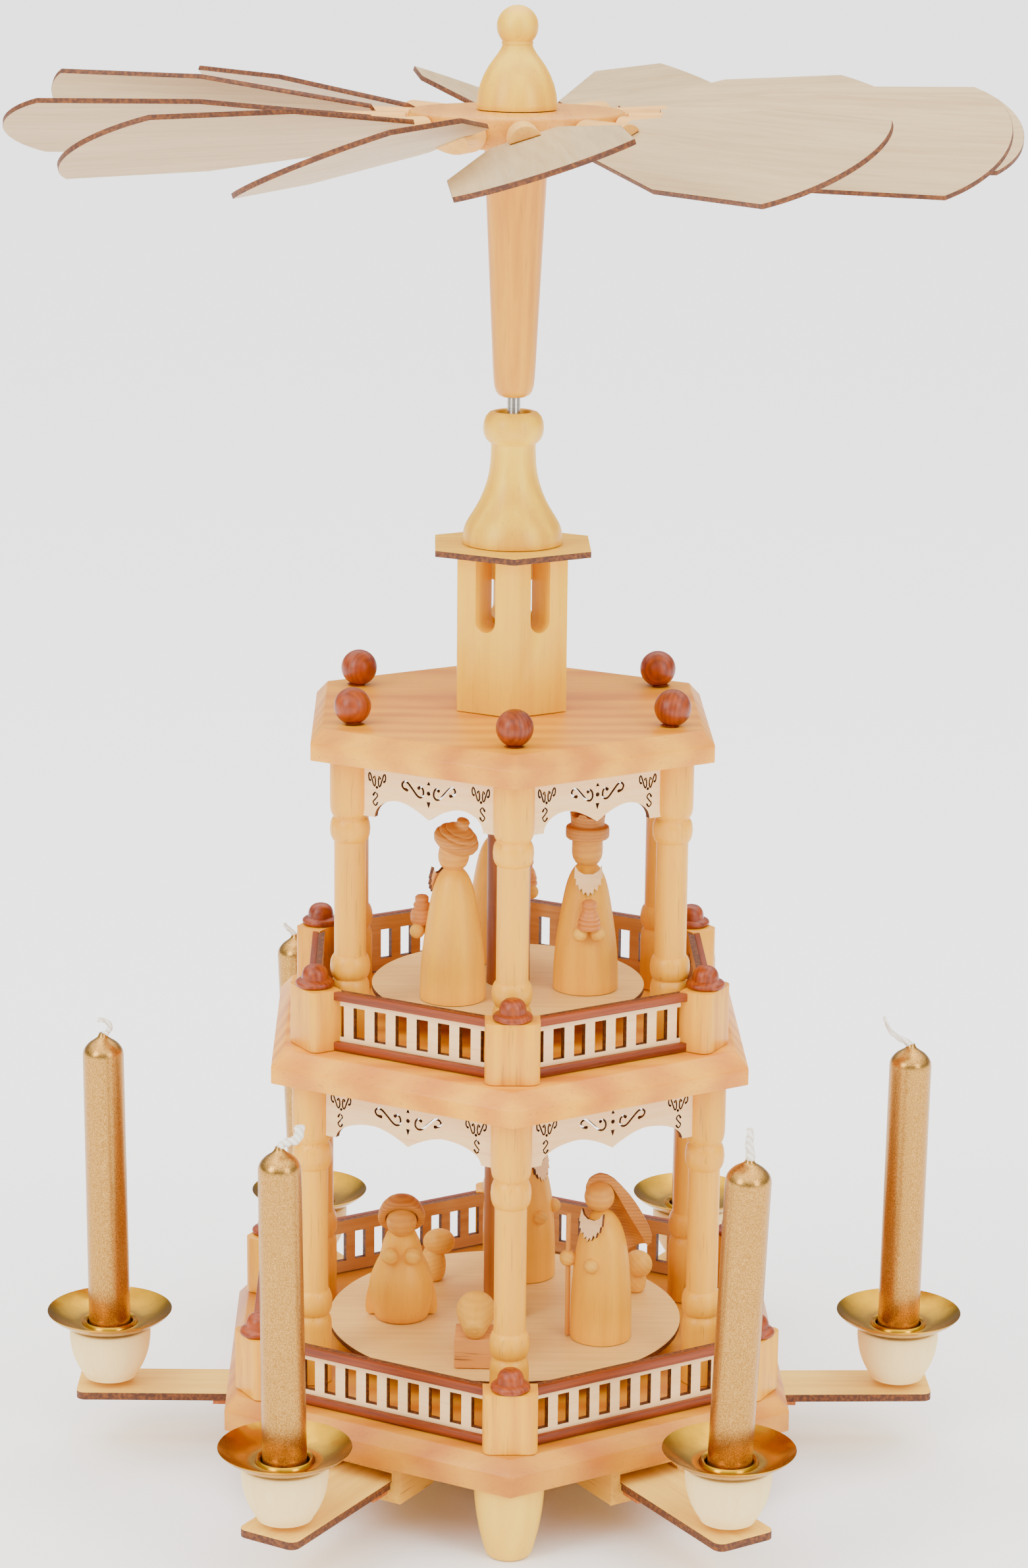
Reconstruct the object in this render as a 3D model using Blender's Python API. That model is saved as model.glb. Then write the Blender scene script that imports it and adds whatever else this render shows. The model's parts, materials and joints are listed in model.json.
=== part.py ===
"""Wooden candle carousel: two tiers, a slotted tower and a rotor of twelve blades over six candles.

Metres, +Z up. The origin is on the axle, level with the soles of the feet.
Corners of the hexagons lie at every sixth of a turn, one of them at -Y.
"""
import math
from collections import namedtuple

import bmesh
import bpy
from mathutils import Matrix, Vector

MM = 0.001

# Driving dimensions
GAP = 0.3 * MM
OVERRUN = 1.0 * MM
MERGE = 0.001 * MM
SIDES = 6
FRONT_TURN = math.radians(-90)

FOOT_R = 10.9 * MM
FOOT_HEIGHT = 25.2 * MM
FOOT_SETBACK = 16.0 * MM
FOOT_COUNT = 3

BASE_R = 104.0 * MM
BASE_THICK = 11.0 * MM
BASE_CHAMFER = 4.3 * MM
MIDDLE_R = 86.7 * MM
MIDDLE_THICK = 10.3 * MM
MIDDLE_CHAMFER = 4.8 * MM
MIDDLE_HOLE_R = 9.0 * MM
TOP_R = 72.4 * MM
TOP_THICK = 9.9 * MM
TOP_CHAMFER = 4.3 * MM

LOWER_COLUMN_SETBACK = 24.7 * MM
UPPER_COLUMN_SETBACK = 18.0 * MM
COLUMN_R = 6.35 * MM
PLY = 2.0 * MM

LOWER_CROWN = 12.5 * MM
UPPER_CROWN = 11.0 * MM
FRIEZE_CROWN_DEPTH = 11.6 * MM
FRIEZE_TIP_DEPTH = 16.3 * MM
FRIEZE_END_DEPTH = 17.7 * MM
FRIEZE_END_FLAT = 3.5 * MM
FRIEZE_SEAT = 3.0 * MM
FRIEZE_OUTSET = 1.6 * MM
SCROLL_START = 2.4 * MM
LOWER_SCROLL = 9.0 * MM
UPPER_SCROLL = 7.2 * MM
SCROLL_WIDTH = 1.1 * MM
SCROLL_SWING = 1.5 * MM
SCROLL_DEPTH = 7.4 * MM
TIP_CURVE_SHARE = 1.6

LOWER_POST_SETBACK = 7.3 * MM
UPPER_POST_SETBACK = 10.4 * MM
PANEL_SETBACK = 4.2 * MM
BALUSTER_HEIGHT = 19.0 * MM
RAIL_HEIGHT = 2.7 * MM
RAIL_THICK = 2.0 * MM
RAIL_LAP = 0.3 * MM
RAIL_LIFT = 0.1 * MM
RAIL_SEAT = 8.1 * MM
PANEL_LIFT = 0.2 * MM
WINDOW_SILL = 4.2 * MM
WINDOW_HEIGHT = 10.1 * MM
WINDOW_WIDTH = 4.1 * MM
WINDOW_PITCH = 7.6 * MM
WINDOW_MARGIN = 2.0 * MM
POST_HALF_WIDTH = 8.5 * MM
POST_DEPTH = 10.2 * MM
POST_ROUNDING = 3.0 * MM
POST_HEIGHT = 19.3 * MM
PANEL_SEAT = 4.6 * MM
POST_CAP_R = 6.2 * MM
POST_CAP_HEIGHT = 6.9 * MM
POST_CAP_SETBACK = 5.4 * MM
GLUE_LAP = 0.2 * MM

FINIAL_R = 5.8 * MM
FINIAL_SETBACK = 15.5 * MM
FINIAL_PIN_R = 2.2 * MM
FINIAL_PIN = 3.0 * MM

TOWER_R = 19.9 * MM
TOWER_HEIGHT = 49.7 * MM
TOWER_SLOT = 7.0 * MM
TOWER_SLOT_FLOOR = 26.1 * MM
COVER_R = 28.1 * MM
COVER_THICK = 1.9 * MM
TOWER_WELL_R = 7.6 * MM
TOWER_WELL_DROP = 1.0 * MM
PLUG_HEIGHT = 9.0 * MM
ROD_HOLE_R = 4.0 * MM
BELL_R = 16.0 * MM
BELL_HEIGHT = 41.6 * MM
BELL_BORE_R = 5.5 * MM

SPINDLE_R = 2.0 * MM
SPINDLE_POINT = 3.0 * MM
RUNNING_GAP = 0.3 * MM
BEARING_R = 7.0 * MM
BEARING_HEIGHT = 4.5 * MM
BEARING_RIM = 1.6 * MM
BEARING_FLOOR = 1.5 * MM

DOWEL_R = 7.0 * MM
DOWEL_LIFT = 2.5 * MM
DOWEL_HEADROOM = 6.0 * MM
LOWER_DISC_SETBACK = 14.0 * MM
LOWER_DISC_LIFT = 6.5 * MM
UPPER_DISC_SETBACK = 14.3 * MM
UPPER_DISC_LIFT = 8.5 * MM

SLEEVE_FOOT_R = 6.3 * MM
SLEEVE_HEAD_R = 10.0 * MM
SLEEVE_HEIGHT = 78.5 * MM
SLEEVE_ROUNDING = 1.0 * MM
SLEEVE_CLEARANCE = 4.4 * MM
HUB_R = 33.5 * MM
HUB_THICK = 9.7 * MM
HUB_ROUNDING = 1.2 * MM
PEG_DROP = 0.55 * MM
ACORN_R = 12.45 * MM
ACORN_HEIGHT = 31.4 * MM
ACORN_BALL_R = 6.4 * MM
ACORN_BORE = 16.0 * MM

BLADE_COUNT = 12
BLADE_THICK = 1.6 * MM
BLADE_ROOT = 44.9 * MM
BLADE_SHOULDER = 96.8 * MM
BLADE_EDGE = 145.1 * MM
BLADE_TIP = 156.75 * MM
BLADE_ROOT_HALF = 10.6 * MM
BLADE_SHOULDER_HALF = 25.8 * MM
BLADE_EDGE_HALF = 26.0 * MM
BLADE_FIRST_TURN = math.radians(3.8)
BLADE_PITCHES = (18, 24, 29, 25, 22, 24, 19, 24, 32, 21, 23, 22)
BLADE_SWINGS = (-2.1, 1.6, 1.1, -1.9, -1.2, -3.6, -0.8, 1.5, 3.7, -1.3, 1.0, 2.0)
PEG_R = 4.9 * MM
PEG_LENGTH = 22.0 * MM
PEG_STUB = 10.5 * MM
PEG_TENON_R = 2.4 * MM
PEG_TENON = 9.5 * MM
PEG_HOLE_CLEARANCE = 0.2 * MM

ARM_WIDTH = 21.0 * MM
ARM_THICK = 2.5 * MM
ARM_DROP = 3.0 * MM
ARM_SPREAD = 11.8 * MM
ARM_REACH = 53.4 * MM
ARM_PULL = 7.8 * MM
PULL_SHARES = (0.0, 0.2, 0.85, 1.0, 0.15, 0.05)
ARM_SWINGS = (0.8, 0.8, -0.6, -0.3, -1.0, -2.0)
ARM_CORNER = 3.0 * MM
ARM_STOP = 8.0 * MM
ARM_STOP_THICK = 2.0 * MM
ARM_STOP_LAP = 0.5 * MM
BLOCK_WIDTH = 28.4 * MM
BLOCK_DEPTH = 12.5 * MM
BLOCK_LENGTH = 20.0 * MM
BLOCK_SETBACK = 3.57 * MM
BLOCK_SEAT = 1.0 * MM

CUP_SIDES = 12
CUP_SETBACK = 10.6 * MM
CUP_R = 13.5 * MM
CUP_HEIGHT = 17.3 * MM
CUP_FLOOR = 10.5 * MM
PAN_R = 20.5 * MM
PAN_RISE = 4.6 * MM
PAN_COLLAR = 1.5 * MM
PAN_WALL = 0.7 * MM
CANDLE_FOOT_R = 6.85 * MM
CANDLE_HEAD_R = 6.45 * MM
CANDLE_LENGTH = 105.0 * MM
CANDLE_SHOULDER = 3.0 * MM
CANDLE_DOME = 1.0 * MM
SHOULDER_SHARE = 0.86
WICK_R = 0.8 * MM
WICK_LENGTH = 5.0 * MM

# Places, from the rims of the plates inwards
RIM_SHARE = math.cos(math.pi / SIDES)
FOOT_RING = BASE_R - FOOT_SETBACK
LOWER_POST_FRONT = BASE_R - LOWER_POST_SETBACK
UPPER_POST_FRONT = MIDDLE_R - UPPER_POST_SETBACK
LOWER_RING = LOWER_POST_FRONT - LOWER_COLUMN_SETBACK
UPPER_RING = UPPER_POST_FRONT - UPPER_COLUMN_SETBACK
LOWER_DISC_R = LOWER_RING - LOWER_DISC_SETBACK
UPPER_DISC_R = UPPER_RING - UPPER_DISC_SETBACK
FINIAL_RING = TOP_R - FINIAL_SETBACK
BLOCK_OUTER = BASE_R * RIM_SHARE - BLOCK_SETBACK
BLOCK_INNER = BLOCK_OUTER - BLOCK_LENGTH
ARM_INNER = ARM_WIDTH / 2 / math.tan(math.pi / SIDES) + ARM_SPREAD
ARM_OUTER = BLOCK_OUTER + ARM_REACH
CUP_RING = ARM_OUTER - CUP_SETBACK

# Heights, stacked from the soles upwards
BASE_BOTTOM = FOOT_HEIGHT + GAP
BASE_TOP = BASE_BOTTOM + BASE_THICK
LOWER_COLUMN = 101.6 * MM
MIDDLE_BOTTOM = BASE_TOP + LOWER_COLUMN + 2 * GAP
MIDDLE_TOP = MIDDLE_BOTTOM + MIDDLE_THICK
UPPER_COLUMN = 91.7 * MM
TOP_BOTTOM = MIDDLE_TOP + UPPER_COLUMN + 2 * GAP
TOP_TOP = TOP_BOTTOM + TOP_THICK
TOWER_BOTTOM = TOP_TOP + GAP
COVER_BOTTOM = TOWER_BOTTOM + TOWER_HEIGHT + GAP
BELL_BOTTOM = COVER_BOTTOM + COVER_THICK + GAP
SLEEVE_BOTTOM = BELL_BOTTOM + BELL_HEIGHT + SLEEVE_CLEARANCE
HUB_BOTTOM = SLEEVE_BOTTOM + SLEEVE_HEIGHT + GAP
HUB_TOP = HUB_BOTTOM + HUB_THICK
ACORN_BOTTOM = HUB_TOP + GAP
PEG_Z = (HUB_BOTTOM + HUB_TOP) / 2 - PEG_DROP
LOWER_DISC_TOP = BASE_TOP + LOWER_DISC_LIFT + PLY
UPPER_DISC_TOP = MIDDLE_TOP + UPPER_DISC_LIFT + PLY
ARM_TOP = BASE_BOTTOM - ARM_DROP
PEG_SEAT_R = HUB_R + GAP
SPINDLE_BORE_R = SPINDLE_R + RUNNING_GAP
PLUG_R = TOWER_WELL_R - GAP

Tier = namedtuple("Tier", "name floor column ring crown scroll post_front")
LOWER = Tier(
    "lower", BASE_TOP, LOWER_COLUMN, LOWER_RING, LOWER_CROWN, LOWER_SCROLL, LOWER_POST_FRONT,
)
UPPER = Tier(
    "upper", MIDDLE_TOP, UPPER_COLUMN, UPPER_RING, UPPER_CROWN, UPPER_SCROLL, UPPER_POST_FRONT,
)

# Outlines of the turned pieces: radius share, height share, from the bottom up
FOOT_SHARE = ((0.50, 0.0), (0.66, 0.04), (0.82, 0.30), (0.95, 0.60), (1.0, 0.85), (0.97, 1.0))
COLUMN_SHARE = (
    (0.97, 0.0), (0.97, 0.200), (0.82, 0.221), (1.0, 0.262), (0.80, 0.304),
    (0.80, 0.709), (1.0, 0.751), (0.82, 0.794), (1.0, 0.815), (1.0, 1.0),
)
POST_CAP_SHARE = ((0.95, 0.0), (1.0, 0.20), (0.69, 0.36), (0.62, 0.68), (0.34, 0.95))
BELL_SHARE = (
    (0.98, 0.0), (0.965, 0.13), (0.80, 0.24), (0.644, 0.33), (0.50, 0.46),
    (0.4375, 0.60), (0.4375, 0.74), (0.54, 0.79), (0.594, 0.87), (0.55, 0.95), (0.44, 1.0),
)
ACORN_SHARE = (
    (1.0, 0.0), (0.99, 0.07), (0.93, 0.22), (0.82, 0.36), (0.66, 0.47), (0.47, 0.55), (0.37, 0.63),
)
CUP_SHARE = ((0.66, 0.0), (0.76, 0.12), (0.90, 0.36), (0.98, 0.64), (1.0, 0.86), (0.97, 1.0))

# Figures: place in shares of the disc's radius, direction that they face, radius and height of the body
KING_R = 10.5 * MM
KING_HEIGHT = 42.0 * MM
TALL_KING_HEIGHT = 43.5 * MM
WOMAN_R = 10.7 * MM
WOMAN_HEIGHT = 30.0 * MM
MAN_R = 10.0 * MM
MAN_HEIGHT = 43.6 * MM
SHEPHERD_R = 10.5 * MM
SHEPHERD_HEIGHT = 44.0 * MM
SHEEP_R = 4.4 * MM
SHEEP_HEIGHT = 11.0 * MM
LAMB_R = 3.5 * MM
LAMB_HEIGHT = 8.0 * MM
Figure = namedtuple("Figure", "name place_share turn radius height")
KING_1 = Figure("king_1", (-0.409, -0.411), math.radians(-120), KING_R, TALL_KING_HEIGHT)
KING_2 = Figure("king_2", (0.564, -0.143), math.radians(2), KING_R, KING_HEIGHT)
KING_3 = Figure("king_3", (-0.066, 0.636), math.radians(125), KING_R, KING_HEIGHT)
WOMAN = Figure("kneeling_woman", (-0.588, -0.043), 0, WOMAN_R, WOMAN_HEIGHT)
MAN = Figure("man_with_staff", (0.533, -0.340), math.radians(-14), MAN_R, MAN_HEIGHT)
SHEPHERD = Figure("shepherd", (0.126, 0.629), math.radians(55), SHEPHERD_R, SHEPHERD_HEIGHT)
SHEEP = Figure("sheep_1", (-0.407, 0.526), math.radians(90), SHEEP_R, SHEEP_HEIGHT)
LAMB = Figure("sheep_2", (0.766, 0.345), math.radians(20), LAMB_R, LAMB_HEIGHT)
CRIB_PLACE_SHARE = (-0.176, -0.716)
BODY_SHARE = ((1.0, 0.0), (0.99, 0.35), (0.90, 0.64), (0.72, 0.86), (0.42, 0.97))
KNEELING_SHARE = ((0.80, 0.0), (1.0, 0.18), (0.94, 0.45), (0.66, 0.76), (0.50, 1.0))
HEAD_R = 5.0 * MM
HEAD_RISE = 2.9 * MM
HAND_R = 2.4 * MM
HAND_SPREAD = 2.9 * MM
HAND_REACH = 11.5 * MM
HAND_HEIGHT = 20.8 * MM
VESSEL_R = 3.7 * MM
VESSEL_HEIGHT = 10.0 * MM
VESSEL_LIFT = 1.5 * MM
VESSEL_SHARE = ((0.80, 0.0), (1.0, 0.10), (0.95, 0.35), (0.70, 0.60), (0.55, 0.94))
HAT_R = 7.0 * MM
HAT_HEIGHT = 8.6 * MM
HAT_RISE = 7.6 * MM
HAT_SHARE = ((0.95, 0.0), (1.0, 0.10), (1.0, 0.45), (0.79, 0.54), (0.82, 1.0))
TURBAN_R = 7.4 * MM
TURBAN_HEIGHT = 10.0 * MM
TURBAN_RISE = 6.0 * MM
TURBAN_LEAN = math.radians(-22)
TURBAN_SHARE = ((0.80, 0.0), (1.0, 0.22), (0.94, 0.42), (0.55, 0.60), (0.28, 0.74), (0.26, 1.0))
HOOD_R = 7.4 * MM
HOOD_SETBACK = 1.0 * MM
KNEELING_HEAD_REACH = 2.5 * MM
KNEELING_HEAD_RISE = 3.8 * MM
KNEELING_HAND_SPREAD = 3.9 * MM
KNEELING_HAND_REACH = 7.8 * MM
KNEELING_HAND_HEIGHT = 23.6 * MM
CLOAK_R = 11.9 * MM
CLOAK_NECK_R = 7.6 * MM
CLOAK_WALL = 2.2 * MM
STAFF_R = 0.8 * MM
STAFF_X = -10.6 * MM
STAFF_Y = -2.6 * MM
STAFF_HEIGHT = 42.0 * MM
GRIP_R = 2.8 * MM
GRIP_HEIGHT = 26.7 * MM
SECOND_HAND_X = -1.7 * MM
SECOND_HAND_REACH = 9.0 * MM
CAPE_TURN = math.radians(34)
CAPE_R = 23.7 * MM
CAPE_THICK = 5.0 * MM
CAPE_WIDTH = 9.0 * MM
CAPE_CENTRE_X = -6.0 * MM
CAPE_CENTRE_Z = 31.5 * MM
CAPE_START = math.radians(-6)
CAPE_END = math.radians(100)
SHEEP_SHARE = ((0.70, 0.0), (0.98, 0.35), (0.96, 0.65), (0.60, 1.0))
SHEEP_HEAD_R = 4.5 * MM
SHEEP_HEAD_HALF = 5.4 * MM
SHEEP_HEAD_REACH = 2.0 * MM
CRIB_TURN = math.radians(-3)
CRIB_WIDTH = 13.0 * MM
CRIB_DEPTH = 14.0 * MM
CRIB_HEIGHT = 9.8 * MM
CHILD_R = 6.4 * MM
CHILD_LENGTH = 17.0 * MM
CHILD_SINK = 1.8 * MM
CHILD_SLOPE = math.radians(12)
CHILD_SHARE = ((0.24, 0.0), (0.50, 0.06), (0.62, 0.22), (0.94, 0.62), (0.90, 0.85), (0.50, 1.0))


def clear_scene():
    """Start from an empty scene."""
    for item in list(bpy.data.objects):
        bpy.data.objects.remove(item, do_unlink=True)


def wood(name, colour, roughness=0.5, metallic=0.0):
    """A plain Principled material."""
    made = bpy.data.materials.new(name)
    made.use_nodes = True
    shader = made.node_tree.nodes["Principled BSDF"]
    shader.inputs["Base Color"].default_value = (*colour, 1.0)
    shader.inputs["Roughness"].default_value = roughness
    shader.inputs["Metallic"].default_value = metallic
    return made


def make_object(name, shape, material, smooth=True):
    """Turn a bmesh into a named object with outward normals."""
    bmesh.ops.recalc_face_normals(shape, faces=shape.faces[:])
    mesh = bpy.data.meshes.new(name)
    shape.to_mesh(mesh)
    shape.free()
    made = bpy.data.objects.new(name, mesh)
    bpy.context.scene.collection.objects.link(made)
    if material is not None:
        mesh.materials.append(material)
    if smooth:
        shade(mesh)
    return made


def shade(mesh):
    """Smooth shading that keeps the turned edges sharp."""
    mesh.shade_smooth()
    mesh.set_sharp_from_angle(angle=math.radians(35))


def cut_or_join(target, tool, operation):
    """Boolean of the target with a hidden tool object."""
    step = target.modifiers.new(operation.title(), 'BOOLEAN')
    step.operation = operation
    step.solver = 'EXACT'
    step.object = tool
    tool.hide_render = True
    tool.display_type = 'WIRE'


def bake(target):
    """Replace the target's mesh by its evaluated one and drop the tools that shaped it."""
    tools = [step.object for step in target.modifiers]
    bpy.context.view_layer.update()
    graph = bpy.context.evaluated_depsgraph_get()
    shaped = bpy.data.meshes.new_from_object(target.evaluated_get(graph))
    shaped.name = target.name
    target.modifiers.clear()
    target.data = shaped
    for tool in tools:
        bpy.data.objects.remove(tool, do_unlink=True)
    return target


def join_parts(target, *tools):
    """Unite the target with each tool in turn."""
    for tool in tools:
        cut_or_join(target, tool, 'UNION')
    return bake(target)


def cut_parts(target, *tools):
    """Cut each tool out of the target in turn."""
    for tool in tools:
        cut_or_join(target, tool, 'DIFFERENCE')
    return bake(target)


def scaled(shares, radius, height, bottom=0.0):
    """Outline points from radius and height shares."""
    return [(r * radius, bottom + z * height) for r, z in shares]


def arc(centre_z, radius, start, end, steps):
    """Points of an arc about a centre on the axis, angles from the equator."""
    points = []
    for i in range(steps + 1):
        angle = math.radians(start + (end - start) * i / steps)
        points.append((radius * math.cos(angle), centre_z + radius * math.sin(angle)))
    return points


def closed(outline):
    """Close an open outline with points on the axis."""
    return [(0.0, outline[0][1])] + list(outline) + [(0.0, outline[-1][1])]


def lathe(outline, segments):
    """Spin (radius, height) points round Z; an outline that starts off the axis is a closed ring."""
    shape = bmesh.new()
    chain = [shape.verts.new((r, 0, z)) for r, z in outline]
    pairs = list(zip(chain, chain[1:]))
    if outline[0][0] > 0:
        pairs.append((chain[-1], chain[0]))
    edges = [shape.edges.new(pair) for pair in pairs]
    bmesh.ops.spin(
        shape, geom=chain + edges, cent=(0, 0, 0), axis=(0, 0, 1), dvec=(0, 0, 0),
        angle=math.tau, steps=segments, use_merge=True, use_duplicate=False,
    )
    bmesh.ops.remove_doubles(shape, verts=shape.verts[:], dist=MERGE)
    return shape


def prism(outline, bottom, top):
    """Extrude a flat outline of (x, y) points from one height to another."""
    shape = bmesh.new()
    face = shape.faces.new([shape.verts.new((x, y, bottom)) for x, y in outline])
    raised = bmesh.ops.extrude_face_region(shape, geom=[face])
    rim = [item for item in raised["geom"] if isinstance(item, bmesh.types.BMVert)]
    bmesh.ops.translate(shape, verts=rim, vec=(0, 0, top - bottom))
    return shape


def box(x0, x1, y0, y1, z0, z1):
    """A block between two corners."""
    return prism(((x0, y0), (x1, y0), (x1, y1), (x0, y1)), z0, z1)


def ball(radius, segments=8, rings=5):
    """A turned ball about the origin."""
    return lathe(arc(0, radius, -90, 90, rings), segments)


def add(shape, piece, place=None):
    """Append a piece, moved to its place, to a larger shape."""
    if place is not None:
        bmesh.ops.transform(piece, matrix=place, verts=piece.verts[:])
    bmesh.ops.recalc_face_normals(piece, faces=piece.faces[:])
    carrier = bpy.data.meshes.new("carrier")
    piece.to_mesh(carrier)
    piece.free()
    shape.from_mesh(carrier)
    bpy.data.meshes.remove(carrier)


def moved(x, y, z):
    """Matrix of a shift."""
    return Matrix.Translation((x, y, z))


def turned(angle, axis='Z'):
    """Matrix of a turn about an axis."""
    return Matrix.Rotation(angle, 4, axis)


def tool(name, *pieces):
    """One tool object from (piece, place) pairs."""
    shape = bmesh.new()
    for piece, place in pieces:
        add(shape, piece, place)
    return make_object(name, shape, None, smooth=False)


def corner_turn(index):
    """Direction of a corner of the hexagons."""
    return FRONT_TURN + index * math.tau / SIDES


def side_turn(index):
    """Direction of the middle of a side of the hexagons."""
    return FRONT_TURN + (index + 0.5) * math.tau / SIDES


def arm_turn(index):
    """Direction of an arm and of its guide block, which is glued on by eye."""
    return side_turn(index) + math.radians(ARM_SWINGS[index])


def around(radius, turn, height=0.0):
    """Point at a radius and a direction from the axle."""
    return Vector((radius * math.cos(turn), radius * math.sin(turn), height))


def facing(turn):
    """Matrix that turns what faces -Y to a direction."""
    return turned(turn - FRONT_TURN)


def upright(inner_plane, height=0.0):
    """Matrix that stands a flat outline up, its back at a distance from the axle, facing -Y."""
    return moved(0, -inner_plane, height) @ turned(math.pi / 2, 'X')


def hexagon_plate(name, radius, thick, chamfer, bottom, material):
    """A hexagonal plate with a chamfered upper edge."""
    outline = ((0, 0), (radius, 0), (radius, thick - chamfer), (radius - chamfer, thick), (0, thick))
    plate = lathe(outline, SIDES)
    bmesh.ops.transform(plate, matrix=turned(FRONT_TURN), verts=plate.verts[:])
    made = make_object(name, plate, material, smooth=False)
    made.location.z = bottom
    return made


def build_base(material):
    """Base plate with its six slotted guide blocks and the pocket of the bearing."""
    plate = hexagon_plate("base_plate", BASE_R, BASE_THICK, BASE_CHAMFER, BASE_BOTTOM, material)
    blocks = []
    slots = []
    for i in range(SIDES):
        half = BLOCK_WIDTH / 2
        block = box(BLOCK_INNER, BLOCK_OUTER, -half, half, -BLOCK_DEPTH, BLOCK_SEAT)
        blocks.append((block, turned(arm_turn(i))))
        half = ARM_WIDTH / 2 + GAP
        slot_top = -ARM_DROP + GAP
        slot_floor = -ARM_DROP - ARM_THICK - GAP
        slot = box(BLOCK_INNER - OVERRUN, BLOCK_OUTER + OVERRUN, -half, half, slot_floor, slot_top)
        slots.append((slot, turned(arm_turn(i))))
    pocket_r = BEARING_R + GAP
    pocket_floor = BASE_THICK - BEARING_HEIGHT - GAP
    pocket = lathe(closed(((pocket_r, pocket_floor), (pocket_r, BASE_THICK + OVERRUN))), 16)
    block_tool = tool("block_tool", *blocks)
    block_tool.location.z = BASE_BOTTOM
    cutter = tool("slot_tool", *slots, (pocket, None))
    cutter.location.z = BASE_BOTTOM
    join_parts(plate, block_tool)
    cut_parts(plate, cutter)


def build_feet(material):
    """Three turned feet under every second corner."""
    for i in range(FOOT_COUNT):
        outline = closed(scaled(FOOT_SHARE, FOOT_R, FOOT_HEIGHT))
        foot = make_object(f"foot_{i + 1}", lathe(outline, 12), material)
        foot.location = around(FOOT_RING, corner_turn(i * SIDES // FOOT_COUNT))


def plain_plate(name, radius, thick, chamfer, bottom, hole_r, material, finials=False):
    """An upper hexagonal plate with its hole for the axle."""
    plate = hexagon_plate(name, radius, thick, chamfer, bottom, material)
    if finials:
        pin_angle = math.degrees(math.acos(FINIAL_PIN_R / FINIAL_R))
        profile = [(FINIAL_PIN_R, -FINIAL_PIN)] + arc(FINIAL_R, FINIAL_R, -pin_angle, 90, 5)
        profile = [(0, -FINIAL_PIN)] + profile
        pieces = []
        for i in range(SIDES):
            place = Matrix.Translation(around(FINIAL_RING, corner_turn(i), thick))
            pieces.append((lathe(profile, 8), place))
        balls = tool("finial_tool", *pieces)
        balls.location.z = bottom
        join_parts(plate, balls)
    hole = tool("hole_tool", (lathe(closed(((hole_r, -OVERRUN), (hole_r, thick + OVERRUN))), 16), None))
    hole.location.z = bottom
    cut_parts(plate, hole)


def frieze_outline(tier):
    """Half the scalloped outline, mirrored: flat end, round arch and pointed middle."""
    half = tier.ring / 2 - COLUMN_R
    edge = half - FRIEZE_END_FLAT
    points = [(half + FRIEZE_SEAT, 0), (half + FRIEZE_SEAT, -FRIEZE_END_DEPTH)]
    steps = 3
    for i in range(steps + 1):
        angle = math.pi / 2 * i / steps
        x = tier.crown + (edge - tier.crown) * math.cos(angle)
        fall = (FRIEZE_END_DEPTH - FRIEZE_CROWN_DEPTH) * (1 - math.sin(angle))
        points.append((x, -FRIEZE_CROWN_DEPTH - fall))
    for i in range(1, steps):
        run = i / steps
        fall = (FRIEZE_TIP_DEPTH - FRIEZE_CROWN_DEPTH) * run ** TIP_CURVE_SHARE
        points.append((tier.crown * (1 - run), -FRIEZE_CROWN_DEPTH - fall))
    mirrored = [(-x, y) for x, y in reversed(points)]
    return points + [(0, -FRIEZE_TIP_DEPTH)] + mirrored


def scroll_outline(tier, side):
    """A pierced S-scroll beside the middle of a frieze, simplified to a bent slot."""
    upper = []
    lower = []
    stations = 3
    for i in range(stations + 1):
        run = i / stations
        x = side * (SCROLL_START + tier.scroll * run)
        y = -SCROLL_DEPTH - SCROLL_SWING * math.cos(math.pi * run)
        upper.append((x, y + SCROLL_WIDTH / 2))
        lower.append((x, y - SCROLL_WIDTH / 2))
    return upper + lower[::-1]


def build_arcade(tier, material):
    """Six turned columns with the pierced friezes glued between their heads."""
    outline = closed(scaled(COLUMN_SHARE, COLUMN_R, tier.column))
    columns = []
    friezes = []
    scrolls = []
    outer = tier.ring * RIM_SHARE + FRIEZE_OUTSET
    for i in range(SIDES):
        columns.append((lathe(outline, 8), Matrix.Translation(around(tier.ring, corner_turn(i)))))
        stand = facing(side_turn(i)) @ upright(outer - PLY, tier.column)
        friezes.append((prism(frieze_outline(tier), 0, PLY), stand))
        for side in (-1, 1):
            slot = prism(scroll_outline(tier, side), -OVERRUN, PLY + OVERRUN)
            scrolls.append((slot, stand))
    arcade = tool(tier.name + "_arcade", *columns)
    arcade.data.materials.append(material)
    boards = tool("frieze_tool", *friezes)
    slots = tool("scroll_tool", *scrolls)
    for item in (arcade, boards, slots):
        item.location.z = tier.floor + GAP
    join_parts(arcade, boards)
    cut_parts(arcade, slots)
    shade(arcade.data)


def post_outline(tier):
    """Plan of a balustrade post: flat back, rounded front corners."""
    back = -(tier.post_front - POST_DEPTH)
    inset = POST_HALF_WIDTH - POST_ROUNDING
    centre = -(tier.post_front - POST_ROUNDING)
    points = [(-POST_HALF_WIDTH, back)]
    steps = 2
    for side, start in ((-1, 180), (1, 270)):
        for i in range(steps + 1):
            angle = math.radians(start + 90 * i / steps)
            x = side * inset + POST_ROUNDING * math.cos(angle)
            points.append((x, centre + POST_ROUNDING * math.sin(angle)))
    return points + [(POST_HALF_WIDTH, back)]


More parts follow.
